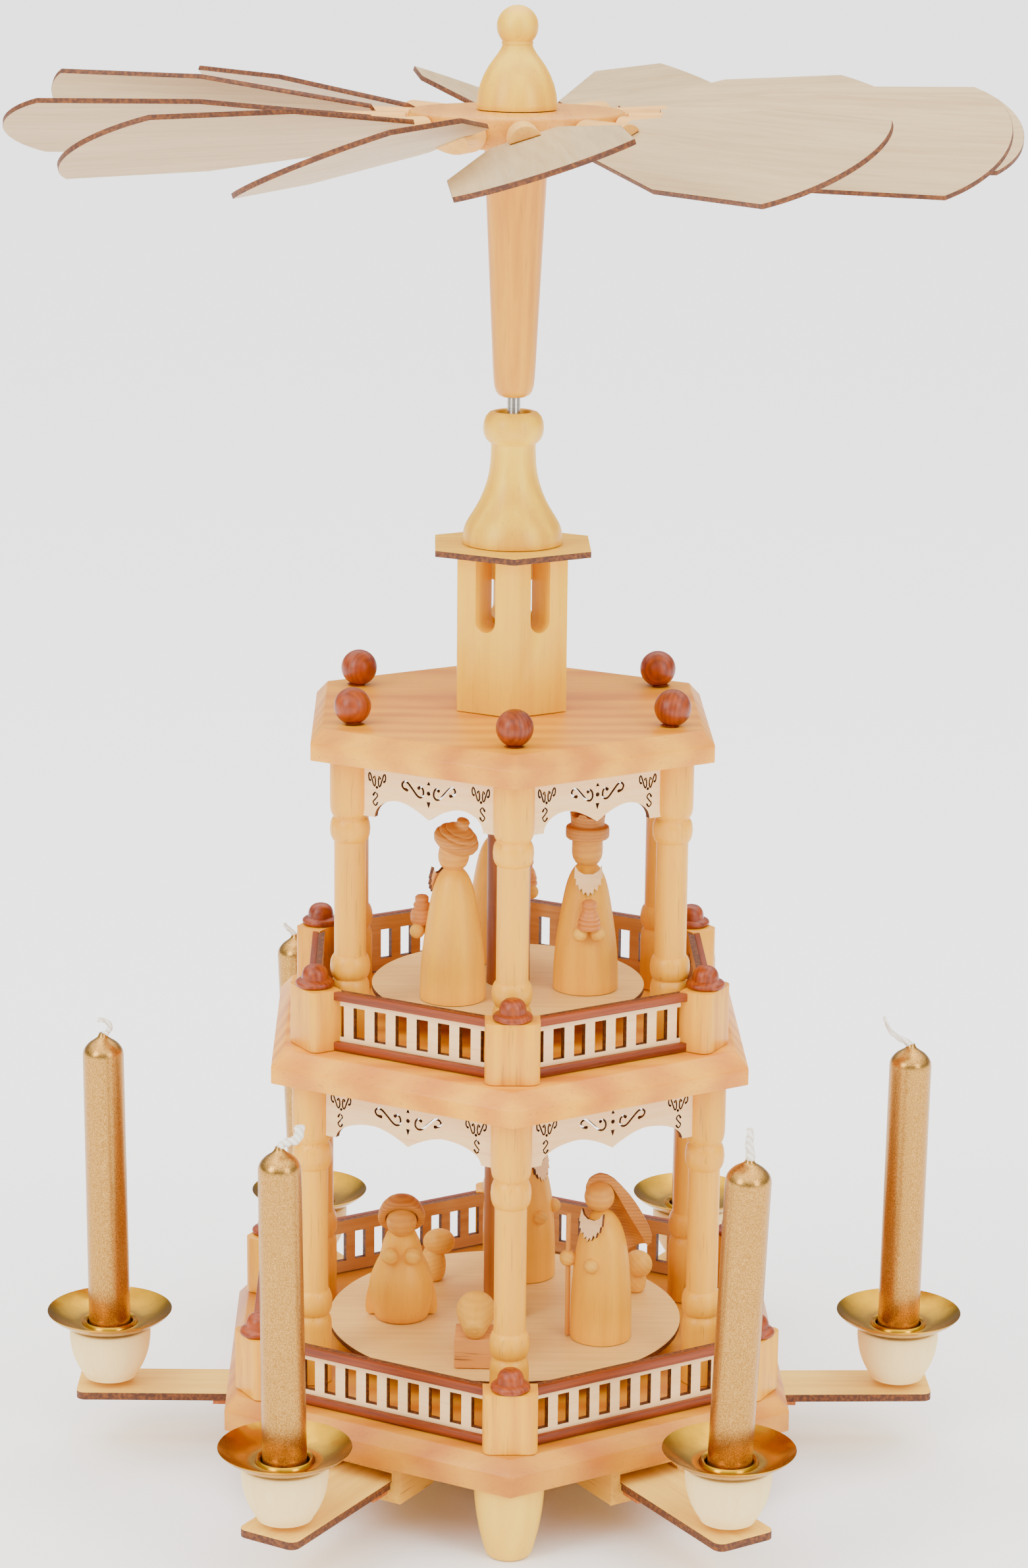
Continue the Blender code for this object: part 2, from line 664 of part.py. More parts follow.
def build_balustrade(tier, material):
    """Six posts with turned caps, pierced panels between them and two rails on each panel."""
    posts = []
    caps = []
    panels = []
    rails = []
    windows = []
    plane = tier.post_front * RIM_SHARE - PANEL_SETBACK
    panel_half = plane * math.tan(math.pi / SIDES) - PANEL_SEAT
    rail_half = plane * math.tan(math.pi / SIDES) - RAIL_SEAT
    room = 2 * (panel_half - WINDOW_MARGIN) - WINDOW_WIDTH
    count = 1 + int(room / WINDOW_PITCH)
    cap_ring = tier.post_front - POST_CAP_SETBACK
    cap_outline = closed(scaled(POST_CAP_SHARE, POST_CAP_R, POST_CAP_HEIGHT, -GLUE_LAP))
    rail_front = plane + RAIL_THICK
    rail_back = plane - RAIL_LAP
    upper_rail = BALUSTER_HEIGHT - RAIL_HEIGHT
    for i in range(SIDES):
        posts.append((prism(post_outline(tier), 0, POST_HEIGHT), facing(corner_turn(i))))
        cap_place = Matrix.Translation(around(cap_ring, corner_turn(i), POST_HEIGHT))
        caps.append((lathe(cap_outline, 8), cap_place))
        face = facing(side_turn(i))
        back = -plane + PLY
        panel_top = BALUSTER_HEIGHT - PANEL_LIFT
        panel = box(-panel_half, panel_half, -plane, back, PANEL_LIFT, panel_top)
        panels.append((panel, face))
        for floor in (RAIL_LIFT, upper_rail):
            rail = box(-rail_half, rail_half, -rail_front, -rail_back, floor, floor + RAIL_HEIGHT)
            rails.append((rail, face))
        for k in range(count):
            x = (k - (count - 1) / 2) * WINDOW_PITCH
            left = x - WINDOW_WIDTH / 2
            right = x + WINDOW_WIDTH / 2
            front = -plane - OVERRUN
            hole = box(left, right, front, back + OVERRUN, WINDOW_SILL, WINDOW_SILL + WINDOW_HEIGHT)
            windows.append((hole, face))
    balustrade = tool(tier.name + "_balustrade", *panels)
    balustrade.data.materials.append(material)
    tools = [tool("window_tool", *windows), tool("rail_tool", *rails), tool("post_tool", *posts)]
    tools.append(tool("cap_tool", *caps))
    for item in [balustrade] + tools:
        item.location.z = tier.floor + GAP
    cut_parts(balustrade, tools[0])
    join_parts(balustrade, *tools[1:])
    shade(balustrade.data)


def build_tower(material, board):
    """Slotted block, its cover with the plug and the bell-shaped neck."""
    block = lathe(((0, 0), (TOWER_R, 0), (TOWER_R, TOWER_HEIGHT), (0, TOWER_HEIGHT)), SIDES)
    bmesh.ops.transform(block, matrix=turned(FRONT_TURN), verts=block.verts[:])
    tower = make_object("tower", block, material, smooth=False)
    tower.location.z = TOWER_BOTTOM
    half = TOWER_SLOT / 2
    steps = 6
    outline = [(half, TOWER_HEIGHT + OVERRUN)]
    for i in range(steps + 1):
        angle = math.pi * i / steps
        rise = TOWER_SLOT_FLOOR + half - half * math.sin(angle)
        outline.append((half * math.cos(angle), rise))
    outline.append((-half, TOWER_HEIGHT + OVERRUN))
    tools = []
    for i in range(SIDES // 2):
        place = facing(side_turn(i)) @ upright(0)
        slot = tool("slot_tool", (prism(outline, -TOWER_R - OVERRUN, TOWER_R + OVERRUN), place))
        tools.append(slot)
    well_floor = TOWER_SLOT_FLOOR - TOWER_WELL_DROP
    well = closed((
        (ROD_HOLE_R, -OVERRUN), (ROD_HOLE_R, well_floor), (TOWER_WELL_R, well_floor),
        (TOWER_WELL_R, TOWER_HEIGHT + OVERRUN),
    ))
    well_sides = 2 * SIDES
    tools.insert(0, tool("well_tool", (lathe(well, well_sides), turned(math.pi / well_sides))))
    for item in tools:
        item.location.z = TOWER_BOTTOM
    cut_parts(tower, *tools)

    plate = lathe(((0, 0), (COVER_R, 0), (COVER_R, COVER_THICK), (0, COVER_THICK)), SIDES)
    bmesh.ops.transform(plate, matrix=turned(FRONT_TURN), verts=plate.verts[:])
    cover = make_object("tower_cover", plate, board, smooth=False)
    plug = lathe(closed(((PLUG_R, -PLUG_HEIGHT), (PLUG_R, GLUE_LAP))), 12)
    rise = COVER_THICK + OVERRUN
    bore = lathe(closed(((SPINDLE_BORE_R, -PLUG_HEIGHT - OVERRUN), (SPINDLE_BORE_R, rise))), 12)
    join_parts(cover, tool("plug_tool", (plug, None)))
    cut_parts(cover, tool("bore_tool", (bore, None)))
    cover.location.z = COVER_BOTTOM

    outline = [(BELL_BORE_R, 0)] + scaled(BELL_SHARE, BELL_R, BELL_HEIGHT) + [(BELL_BORE_R, BELL_HEIGHT)]
    bell = make_object("bell_neck", lathe(outline, 16), material)
    bell.location.z = BELL_BOTTOM


def build_axle(steel, brass, material):
    """Bearing cup, pointed spindle, dowel of the tiers and the tapered sleeve above the tower."""
    rim = BEARING_R - BEARING_RIM
    outline = (
        (0, 0), (BEARING_R, 0), (BEARING_R, BEARING_HEIGHT), (rim, BEARING_HEIGHT), (0, BEARING_FLOOR),
    )
    cup = make_object("bearing_cup", lathe(outline, 16), brass)
    cup_bottom = BASE_TOP - BEARING_HEIGHT
    cup.location.z = cup_bottom

    foot = cup_bottom + BEARING_FLOOR + GAP
    length = ACORN_BOTTOM + ACORN_BORE - GAP - foot
    outline = ((0, 0), (SPINDLE_R, SPINDLE_POINT), (SPINDLE_R, length), (0, length))
    spindle = make_object("spindle", lathe(outline, 12), steel)
    spindle.location.z = foot

    dowel_bottom = BASE_TOP + DOWEL_LIFT
    height = TOP_BOTTOM - DOWEL_HEADROOM - dowel_bottom
    outline = ((SPINDLE_BORE_R, 0), (DOWEL_R, 0), (DOWEL_R, height), (SPINDLE_BORE_R, height))
    dowel = make_object("axle_dowel", lathe(outline, 16), material)
    dowel.location.z = dowel_bottom

    outline = (
        (SPINDLE_BORE_R, 0), (SLEEVE_FOOT_R - SLEEVE_ROUNDING, 0), (SLEEVE_FOOT_R, SLEEVE_ROUNDING),
        (SLEEVE_HEAD_R, SLEEVE_HEIGHT), (SPINDLE_BORE_R, SLEEVE_HEIGHT),
    )
    sleeve = make_object("rotor_sleeve", lathe(outline, 16), material)
    sleeve.location.z = SLEEVE_BOTTOM


def build_discs(material):
    """The two turntables that carry the figures."""
    bore = DOWEL_R + RUNNING_GAP
    sizes = (("lower", LOWER_DISC_R, LOWER_DISC_TOP), ("upper", UPPER_DISC_R, UPPER_DISC_TOP))
    for name, radius, top in sizes:
        disc = lathe(((bore, 0), (radius, 0), (radius, PLY), (bore, PLY)), 24)
        made = make_object(name + "_turntable", disc, material)
        made.location.z = top - PLY


def blade_turn(index):
    """Direction of a blade's peg."""
    return FRONT_TURN + BLADE_FIRST_TURN + index * math.tau / BLADE_COUNT + math.radians(BLADE_SWINGS[index])


def build_hub(material):
    """Turned hub disc with its twelve peg holes, and the acorn that closes it."""
    edge = HUB_R - HUB_ROUNDING
    outline = (
        (SPINDLE_BORE_R, 0), (edge, 0), (HUB_R, HUB_ROUNDING), (HUB_R, HUB_THICK - HUB_ROUNDING),
        (edge, HUB_THICK), (SPINDLE_BORE_R, HUB_THICK),
    )
    hub = make_object("hub", lathe(outline, 24), material)
    hub.location.z = HUB_BOTTOM
    hole_r = PEG_TENON_R + PEG_HOLE_CLEARANCE
    depth = PEG_TENON + GAP
    holes = []
    for i in range(BLADE_COUNT):
        place = Matrix.Translation(around(HUB_R - depth, blade_turn(i), PEG_Z - HUB_BOTTOM))
        place = place @ turned(blade_turn(i)) @ turned(math.pi / 2, 'Y')
        holes.append((lathe(closed(((hole_r, 0), (hole_r, depth + OVERRUN))), 8), place))
    drill = tool("drill_tool", *holes)
    drill.location.z = HUB_BOTTOM
    cut_parts(hub, drill)
    shade(hub.data)

    dome = scaled(ACORN_SHARE, ACORN_R, ACORN_HEIGHT)
    neck_angle = -math.degrees(math.acos(dome[-1][0] / ACORN_BALL_R))
    ball_z = ACORN_HEIGHT - ACORN_BALL_R
    outline = [(SPINDLE_BORE_R, 0)] + dome + arc(ball_z, ACORN_BALL_R, neck_angle, 90, 5)
    outline = [(0, ACORN_BORE), (SPINDLE_BORE_R, ACORN_BORE)] + outline
    acorn = make_object("hub_cap", lathe(outline, 14), material)
    acorn.location.z = ACORN_BOTTOM


def blade_outline():
    """Plan of a blade along X from the peg's seat: narrow root, shoulders and an arched tip."""
    rise = BLADE_TIP - BLADE_EDGE
    radius = (rise ** 2 + BLADE_EDGE_HALF ** 2) / (2 * rise)
    spread = math.asin(BLADE_EDGE_HALF / radius)
    points = [(BLADE_ROOT, -BLADE_ROOT_HALF), (BLADE_SHOULDER, -BLADE_SHOULDER_HALF)]
    steps = 6
    for i in range(steps + 1):
        angle = spread * (2 * i / steps - 1)
        points.append((BLADE_TIP - radius + radius * math.cos(angle), radius * math.sin(angle)))
    points += [(BLADE_SHOULDER, BLADE_SHOULDER_HALF), (BLADE_ROOT, BLADE_ROOT_HALF)]
    return [(x - PEG_SEAT_R, y) for x, y in points]


def build_blades(material):
    """Twelve blades, each glued on the flat of its peg and set at its own pitch."""
    board = prism(blade_outline(), -BLADE_THICK / 2, BLADE_THICK / 2)
    first = make_object("blade_1", board, material, False)
    lying = turned(math.pi / 2, 'Y')
    peg = lathe(closed(((PEG_R, 0), (PEG_R, PEG_LENGTH))), 12)
    bmesh.ops.transform(peg, matrix=lying, verts=peg.verts[:])
    slope = Vector((PEG_R, 0, -(PEG_LENGTH - PEG_STUB)))
    cut = bmesh.ops.bisect_plane(
        peg, geom=peg.verts[:] + peg.edges[:] + peg.faces[:], plane_co=(PEG_STUB, 0, -PEG_R),
        plane_no=slope, clear_outer=True,
    )
    rim = [item for item in cut["geom_cut"] if isinstance(item, bmesh.types.BMEdge)]
    bmesh.ops.edgeloop_fill(peg, edges=rim)
    flat = box(PEG_STUB, PEG_LENGTH + OVERRUN, -PEG_R - OVERRUN, PEG_R + OVERRUN, 0, PEG_R + OVERRUN)
    tenon = lathe(closed(((PEG_TENON_R, -PEG_TENON), (PEG_TENON_R, GAP + GLUE_LAP))), 8)
    peg_body = make_object("peg_tool", peg, None, False)
    cut_parts(peg_body, tool("flat_tool", (flat, None)))
    join_parts(first, peg_body, tool("tenon_tool", (tenon, lying)))
    for i in range(BLADE_COUNT):
        blade = first
        if i:
            blade = bpy.data.objects.new(f"blade_{i + 1}", first.data)
            bpy.context.scene.collection.objects.link(blade)
        blade.location = around(PEG_SEAT_R, blade_turn(i), PEG_Z)
        blade.rotation_euler = (math.radians(BLADE_PITCHES[i]), 0, blade_turn(i))


def arm_outline():
    """Plan of an arm along X from the cup's axis, its outer corners rounded."""
    inner = ARM_INNER - CUP_RING
    outer = ARM_OUTER - CUP_RING
    half = ARM_WIDTH / 2
    points = [(inner, -half)]
    steps = 2
    for side, start in ((-1, -90), (1, 0)):
        for i in range(steps + 1):
            angle = math.radians(start + 90 * i / steps)
            x = outer - ARM_CORNER + ARM_CORNER * math.cos(angle)
            y = side * (half - ARM_CORNER) + ARM_CORNER * math.sin(angle)
            points.append((x, y))
    return points + [(inner, half)]


def build_arms(material, brass, wax):
    """Six sliding arms, pulled out unequally, each with its stop and cup, a drip pan and a candle."""
    socket_r = CANDLE_FOOT_R + GAP
    socket_outer = socket_r + PAN_WALL
    bore_r = socket_outer + GAP
    cup_outline = [(0, -GLUE_LAP)] + scaled(CUP_SHARE, CUP_R, CUP_HEIGHT)
    cup_outline[1] = (cup_outline[1][0], -GLUE_LAP)
    cup_outline += [(bore_r, CUP_HEIGHT), (bore_r, CUP_FLOOR), (0, CUP_FLOOR)]
    stop_inner = BLOCK_OUTER + GAP - CUP_RING
    stop_half = ARM_WIDTH / 2 - ARM_STOP_LAP
    flange = CUP_HEIGHT - CUP_FLOOR
    collar_r = socket_outer + PAN_COLLAR
    pan_outline = [
        (0, 0), (socket_outer, 0), (socket_outer, flange), (collar_r, flange),
        (PAN_R - PAN_WALL / 2, flange + PAN_RISE), (PAN_R, flange + PAN_RISE + PAN_WALL),
        (collar_r, flange + PAN_WALL), (socket_r, flange + PAN_WALL), (socket_r, PAN_WALL), (0, PAN_WALL),
    ]
    shoulder = CANDLE_LENGTH - CANDLE_SHOULDER
    top = CANDLE_LENGTH + CANDLE_DOME
    candle_outline = [
        (0, 0), (CANDLE_FOOT_R, 0), (CANDLE_HEAD_R, shoulder),
        (CANDLE_HEAD_R * SHOULDER_SHARE, CANDLE_LENGTH - CANDLE_DOME),
        (WICK_R, top), (WICK_R, top + WICK_LENGTH), (0, top + WICK_LENGTH),
    ]
    for i, share in enumerate(PULL_SHARES):
        turn = arm_turn(i)
        ring = CUP_RING + share * ARM_PULL
        arm = make_object(f"arm_{i + 1}", prism(arm_outline(), -ARM_THICK, 0), material, False)
        stop_floor = -ARM_THICK - ARM_STOP_THICK
        stop_top = -ARM_THICK + ARM_STOP_LAP
        stop = box(stop_inner, stop_inner + ARM_STOP, -stop_half, stop_half, stop_floor, stop_top)
        join_parts(arm, tool("cup_tool", (lathe(cup_outline, CUP_SIDES), None), (stop, None)))
        shade(arm.data)
        arm.location = around(ring, turn, ARM_TOP)
        arm.rotation_euler.z = turn
        pan = make_object(f"drip_pan_{i + 1}", lathe(pan_outline, CUP_SIDES), brass)
        pan.location = around(ring, turn, ARM_TOP + CUP_FLOOR + GAP)
        candle = make_object(f"candle_{i + 1}", lathe(candle_outline, CUP_SIDES), wax)
        candle.location = around(ring, turn, ARM_TOP + CUP_FLOOR + GAP + PAN_WALL + GAP)


def figure_base(figure, shares, material, segments=10):
    """The turned body of a figure."""
    outline = closed(scaled(shares, figure.radius, figure.height))
    return make_object(figure.name, lathe(outline, segments), material)


def stand(made, place_share, turn, disc_r, disc_top):
    """Set a figure on its disc, facing its own way."""
    shade(made.data)
    made.location = (place_share[0] * disc_r, place_share[1] * disc_r, disc_top + GAP)
    made.rotation_euler.z = turn


def stand_below(made, figure):
    """Set a figure on the lower disc."""
    stand(made, figure.place_share, figure.turn, LOWER_DISC_R, LOWER_DISC_TOP)


def hands(spread, reach, height):
    """Two ball hands in front of a body."""
    pair = [(ball(HAND_R, 6, 3), moved(side * spread, -reach, height)) for side in (-1, 1)]
    return tool("hand_tool", *pair)


def build_kings(material):
    """Three kings with heads, hats, and vessels held by ball hands."""
    for figure in (KING_1, KING_2, KING_3):
        body = figure_base(figure, BODY_SHARE, material)
        head = tool("head_tool", (ball(HEAD_R), moved(0, 0, figure.height + HEAD_RISE)))
        if figure is KING_1:
            hat = lathe(closed(scaled(TURBAN_SHARE, TURBAN_R, TURBAN_HEIGHT)), 8)
            place = moved(0, 0, figure.height + TURBAN_RISE) @ turned(TURBAN_LEAN, 'X')
        else:
            hat = lathe(closed(scaled(HAT_SHARE, HAT_R, HAT_HEIGHT)), 8)
            place = moved(0, 0, figure.height + HAT_RISE)
        vessel = lathe(closed(scaled(VESSEL_SHARE, VESSEL_R, VESSEL_HEIGHT)), 6)
        vessel_place = moved(0, -HAND_REACH, HAND_HEIGHT + VESSEL_LIFT)
        parts = [head, tool("hat_tool", (hat, place)), tool("vessel_tool", (vessel, vessel_place))]
        parts.append(hands(HAND_SPREAD, HAND_REACH, HAND_HEIGHT))
        join_parts(body, *parts)
        stand(body, figure.place_share, figure.turn, UPPER_DISC_R, UPPER_DISC_TOP)


def keep_back(shape):
    """Cut a shape along the XZ plane and keep what lies behind it, closed again."""
    geometry = shape.verts[:] + shape.edges[:] + shape.faces[:]
    bmesh.ops.bisect_plane(shape, geom=geometry, plane_co=(0, 0, 0), plane_no=(0, -1, 0), clear_outer=True)
    bmesh.ops.holes_fill(shape, edges=shape.edges[:], sides=0)
    return shape


def build_woman(material):
    """Kneeling woman with hood, cloak and folded hands."""
    body = figure_base(WOMAN, KNEELING_SHARE, material)
    head_z = WOMAN.height + KNEELING_HEAD_RISE
    head = tool("head_tool", (ball(HEAD_R), moved(0, -KNEELING_HEAD_REACH, head_z)))
    hood = tool("hood_tool", (ball(HOOD_R, 8, 5), moved(0, HOOD_SETBACK, head_z)))
    inner_foot = CLOAK_R - CLOAK_WALL
    inner_neck = CLOAK_NECK_R - CLOAK_WALL
    ring = ((inner_foot, GAP), (CLOAK_R, GAP), (CLOAK_NECK_R, WOMAN.height), (inner_neck, WOMAN.height))
    cloak = tool("cloak_tool", (keep_back(lathe(ring, 10)), None))
    pair = hands(KNEELING_HAND_SPREAD, KNEELING_HAND_REACH, KNEELING_HAND_HEIGHT)
    join_parts(body, head, hood, cloak, pair)
    stand_below(body, WOMAN)


def build_man(material):
    """Man with a staff and a curved cape board that springs from his head."""
    body = figure_base(MAN, BODY_SHARE, material)
    head = tool("head_tool", (ball(HEAD_R), moved(0, 0, MAN.height + HEAD_RISE)))
    outer = []
    inner = []
    steps = 6
    for i in range(steps + 1):
        angle = CAPE_START + (CAPE_END - CAPE_START) * i / steps
        outer.append((CAPE_R * math.cos(angle), CAPE_R * math.sin(angle)))
        radius = CAPE_R - CAPE_THICK
        inner.append((radius * math.cos(angle), radius * math.sin(angle)))
    board = prism(outer + inner[::-1], 0, CAPE_WIDTH)
    place = turned(CAPE_TURN) @ moved(CAPE_CENTRE_X, 0, 0) @ upright(-CAPE_WIDTH / 2, CAPE_CENTRE_Z)
    cape = tool("cape_tool", (board, place))
    staff = lathe(closed(((STAFF_R, 0), (STAFF_R, STAFF_HEIGHT))), 6)
    rod = tool("staff_tool", (staff, moved(STAFF_X, STAFF_Y, 0)))
    grip = (ball(GRIP_R, 8, 5), moved(STAFF_X, STAFF_Y, GRIP_HEIGHT))
    hand = (ball(HAND_R, 6, 3), moved(SECOND_HAND_X, -SECOND_HAND_REACH, GRIP_HEIGHT))
    join_parts(body, head, cape, tool("hand_tool", grip, hand), rod)
    stand_below(body, MAN)


def build_shepherd(material):
    """Shepherd with a brimmed hat, at the back of the lower disc."""
    body = figure_base(SHEPHERD, BODY_SHARE, material)
    head = tool("head_tool", (ball(HEAD_R), moved(0, 0, SHEPHERD.height + HEAD_RISE)))
    hat = lathe(closed(scaled(HAT_SHARE, HAT_R, HAT_HEIGHT)), 8)
    cap = tool("hat_tool", (hat, moved(0, 0, SHEPHERD.height + HAT_RISE)))
    pair = hands(HAND_SPREAD + HAND_R, SHEPHERD.radius - HAND_R / 2, HAND_HEIGHT + VESSEL_LIFT)
    join_parts(body, head, cap, pair)
    stand_below(body, SHEPHERD)


def build_sheep(material):
    """Two sheep, each a turned body with a long head."""
    for figure in (SHEEP, LAMB):
        body = figure_base(figure, SHEEP_SHARE, material, 8)
        head = lathe([(r * SHEEP_HEAD_R, z * SHEEP_HEAD_HALF) for r, z in arc(0, 1, -90, 90, 4)], 8)
        rise = figure.height + SHEEP_HEAD_R / 2
        place = moved(0, -SHEEP_HEAD_REACH, rise) @ turned(math.pi / 2, 'X')
        join_parts(body, tool("head_tool", (head, place)))
        stand_below(body, figure)


def build_crib(material):
    """Block that carries the wrapped child, whose narrow end points to the front."""
    block = box(-CRIB_WIDTH / 2, CRIB_WIDTH / 2, -CRIB_DEPTH / 2, CRIB_DEPTH / 2, 0, CRIB_HEIGHT)
    crib = make_object("crib", block, material, False)
    child = lathe(closed(scaled(CHILD_SHARE, CHILD_R, CHILD_LENGTH, -CHILD_LENGTH / 2)), 10)
    lift = CRIB_HEIGHT + CHILD_R - CHILD_SINK
    place = moved(0, 0, lift) @ turned(CHILD_SLOPE - math.pi / 2, 'X')
    join_parts(crib, tool("child_tool", (child, place)))
    stand(crib, CRIB_PLACE_SHARE, CRIB_TURN, LOWER_DISC_R, LOWER_DISC_TOP)


clear_scene()
BEECH = wood("beech", (0.72, 0.47, 0.22))
BIRCH = wood("birch_ply", (0.78, 0.62, 0.42))
PALE = wood("pale_turned_wood", (0.80, 0.58, 0.36))
BRASS = wood("brass", (0.78, 0.56, 0.18), 0.25, 1.0)
STEEL = wood("steel", (0.62, 0.62, 0.62), 0.3, 1.0)
WAX = wood("gold_wax", (0.60, 0.42, 0.22), 0.35, 0.6)

build_base(BEECH)
build_feet(BEECH)
build_arms(BIRCH, BRASS, WAX)
build_arcade(LOWER, BEECH)
build_balustrade(LOWER, BEECH)
plain_plate("middle_plate", MIDDLE_R, MIDDLE_THICK, MIDDLE_CHAMFER, MIDDLE_BOTTOM, MIDDLE_HOLE_R, BEECH)
build_arcade(UPPER, BEECH)
build_balustrade(UPPER, BEECH)
plain_plate("top_plate", TOP_R, TOP_THICK, TOP_CHAMFER, TOP_BOTTOM, ROD_HOLE_R, BEECH, finials=True)
build_tower(BEECH, BIRCH)
build_axle(STEEL, BRASS, BEECH)
build_discs(BIRCH)
build_hub(BEECH)
build_blades(BIRCH)
build_kings(PALE)
build_woman(PALE)
build_man(PALE)
build_shepherd(PALE)
build_sheep(PALE)
build_crib(PALE)
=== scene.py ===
import math

import bpy
from mathutils import Matrix, Vector
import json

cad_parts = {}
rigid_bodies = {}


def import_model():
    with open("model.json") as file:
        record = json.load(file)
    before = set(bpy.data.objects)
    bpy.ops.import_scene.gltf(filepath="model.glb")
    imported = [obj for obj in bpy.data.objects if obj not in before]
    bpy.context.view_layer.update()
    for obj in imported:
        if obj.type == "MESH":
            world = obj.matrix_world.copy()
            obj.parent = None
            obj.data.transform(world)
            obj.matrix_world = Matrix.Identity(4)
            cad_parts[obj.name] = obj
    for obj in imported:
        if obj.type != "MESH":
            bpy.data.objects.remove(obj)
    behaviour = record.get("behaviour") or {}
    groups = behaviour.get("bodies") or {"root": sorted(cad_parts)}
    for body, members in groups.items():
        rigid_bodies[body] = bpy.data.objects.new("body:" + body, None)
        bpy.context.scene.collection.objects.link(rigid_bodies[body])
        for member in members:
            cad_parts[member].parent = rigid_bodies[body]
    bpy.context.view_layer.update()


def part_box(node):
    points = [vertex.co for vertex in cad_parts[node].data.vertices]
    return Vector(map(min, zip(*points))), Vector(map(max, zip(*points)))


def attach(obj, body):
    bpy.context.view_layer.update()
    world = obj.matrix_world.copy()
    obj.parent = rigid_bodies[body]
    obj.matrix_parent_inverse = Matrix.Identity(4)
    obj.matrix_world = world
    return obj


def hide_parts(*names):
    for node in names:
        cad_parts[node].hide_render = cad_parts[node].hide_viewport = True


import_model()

# The view: the camera stands a little over a metre away, above the front corner, and looks down.
# The table is plain and white. Two large soft lamps stand left and right in front of it, and the
# dim room ahead leaves the metal dark between their reflections.
EYE_DISTANCE, EYE_HEIGHT = 1.223, 0.5298
# The lens and its sideways shift are in pixels of the frame's height.
FRAME_PIXELS, FOCAL_PIXELS, OFF_CENTRE_PIXELS = 2380, 5986.1, 780.5 - 774.3
SENSOR = 36
view_turn = math.radians(1.3)
view_pitch = math.radians(13.983)
view_roll = math.radians(0.589)
forward = Vector((
    math.sin(view_turn) * math.cos(view_pitch),
    math.cos(view_turn) * math.cos(view_pitch),
    -math.sin(view_pitch),
))
level = Vector((math.cos(view_turn), -math.sin(view_turn), 0))
lift = level.cross(forward)
right = level * math.cos(view_roll) + lift * math.sin(view_roll)
up = lift * math.cos(view_roll) - level * math.sin(view_roll)
eye = Vector((-EYE_DISTANCE * math.sin(view_turn), -EYE_DISTANCE * math.cos(view_turn), EYE_HEIGHT))
bpy.ops.object.camera_add(location=eye)
camera = bpy.context.object
camera.matrix_world = Matrix((
    (right.x, up.x, -forward.x, eye.x), (right.y, up.y, -forward.y, eye.y),
    (right.z, up.z, -forward.z, eye.z), (0, 0, 0, 1),
))
camera.data.sensor_width = SENSOR
camera.data.lens = SENSOR * FOCAL_PIXELS / FRAME_PIXELS
camera.data.shift_x = OFF_CENTRE_PIXELS / FRAME_PIXELS
camera.data.clip_end = 60
bpy.context.scene.camera = camera


def aim(place, target):
    """Rotation that points a lamp from its place at a target."""
    return (Vector(target) - Vector(place)).to_track_quat('-Z', 'Y').to_euler()


# Each lamp's name, place, target, width and height in metres, and power in watts.
LAMPS = (
    ("left_lamp", (-1.15, -1.05, 0.95), (0.0, 0.0, 0.22), 0.60, 0.90, 18.0),
    ("right_lamp", (1.05, -1.20, 0.80), (0.0, 0.0, 0.20), 0.50, 0.90, 13.0),
    ("top_lamp", (0.0, 0.35, 1.60), (0.0, 0.0, 0.20), 1.40, 1.40, 6.0),
)
for lamp_name, place, target, wide, high, power in LAMPS:
    bpy.ops.object.light_add(type='AREA', location=place, rotation=aim(place, target))
    lamp = bpy.context.object
    lamp.name = lamp_name
    lamp.data.shape = 'RECTANGLE'
    lamp.data.size = wide
    lamp.data.size_y = high
    lamp.data.energy = power


def linear(code):
    """Linear colour of an sRGB hex value."""
    parts = [int(code[i:i + 2], 16) / 255 for i in (0, 2, 4)]
    return (*[c / 12.92 if c <= 0.04045 else ((c + 0.055) / 1.055) ** 2.4 for c in parts], 1.0)


def add_node(material, kind, links, out=0, **settings):
    """Add a node with its settings, fill its sockets with values or links, and give an output."""
    tree = material.node_tree
    made = tree.nodes.new(kind)
    for key, value in settings.items():
        setattr(made, key, value)
    for socket, value in links.items():
        if isinstance(value, bpy.types.NodeSocket):
            tree.links.new(value, made.inputs[socket])
        else:
            made.inputs[socket].default_value = value
    return made.outputs[out]


def new_material(name, roughness, metallic=0.0, coat=0.0):
    """A material and its Principled shader, with the constants of the finish."""
    material = bpy.data.materials.new(name)
    material.use_nodes = True
    shader = material.node_tree.nodes["Principled BSDF"]
    shader.inputs["Roughness"].default_value = roughness
    shader.inputs["Metallic"].default_value = metallic
    shader.inputs["Coat Weight"].default_value = coat
    return material, shader


studio = bpy.data.worlds.new("studio")
studio.use_nodes = True
ambient = studio.node_tree.nodes["Background"]
ambient.inputs["Color"].default_value = (1.0, 1.0, 1.0, 1.0)
ray = add_node(studio, 'ShaderNodeTexCoord', {})
rise = add_node(studio, 'ShaderNodeSeparateXYZ', {"Vector": ray}, out="Z")
light = add_node(studio, 'ShaderNodeMapRange', {
    "Value": rise, "From Min": 0.35, "From Max": 0.95, "To Min": 0.4, "To Max": 4.6,
})
studio.node_tree.links.new(light, ambient.inputs["Strength"])
bpy.context.scene.world = studio
# Paper sheet: matt and plain, so that only soft shadows show on it.
table_paper, shader = new_material("white_table_paper", 0.9)
shader.inputs["Base Color"].default_value = linear("FFFFFF")
bpy.ops.object.select_all(action='DESELECT')
bpy.ops.mesh.primitive_plane_add(size=50, location=(0, 15, 0))
floor = bpy.context.object
floor.name = "table"
floor.data.materials.append(table_paper)

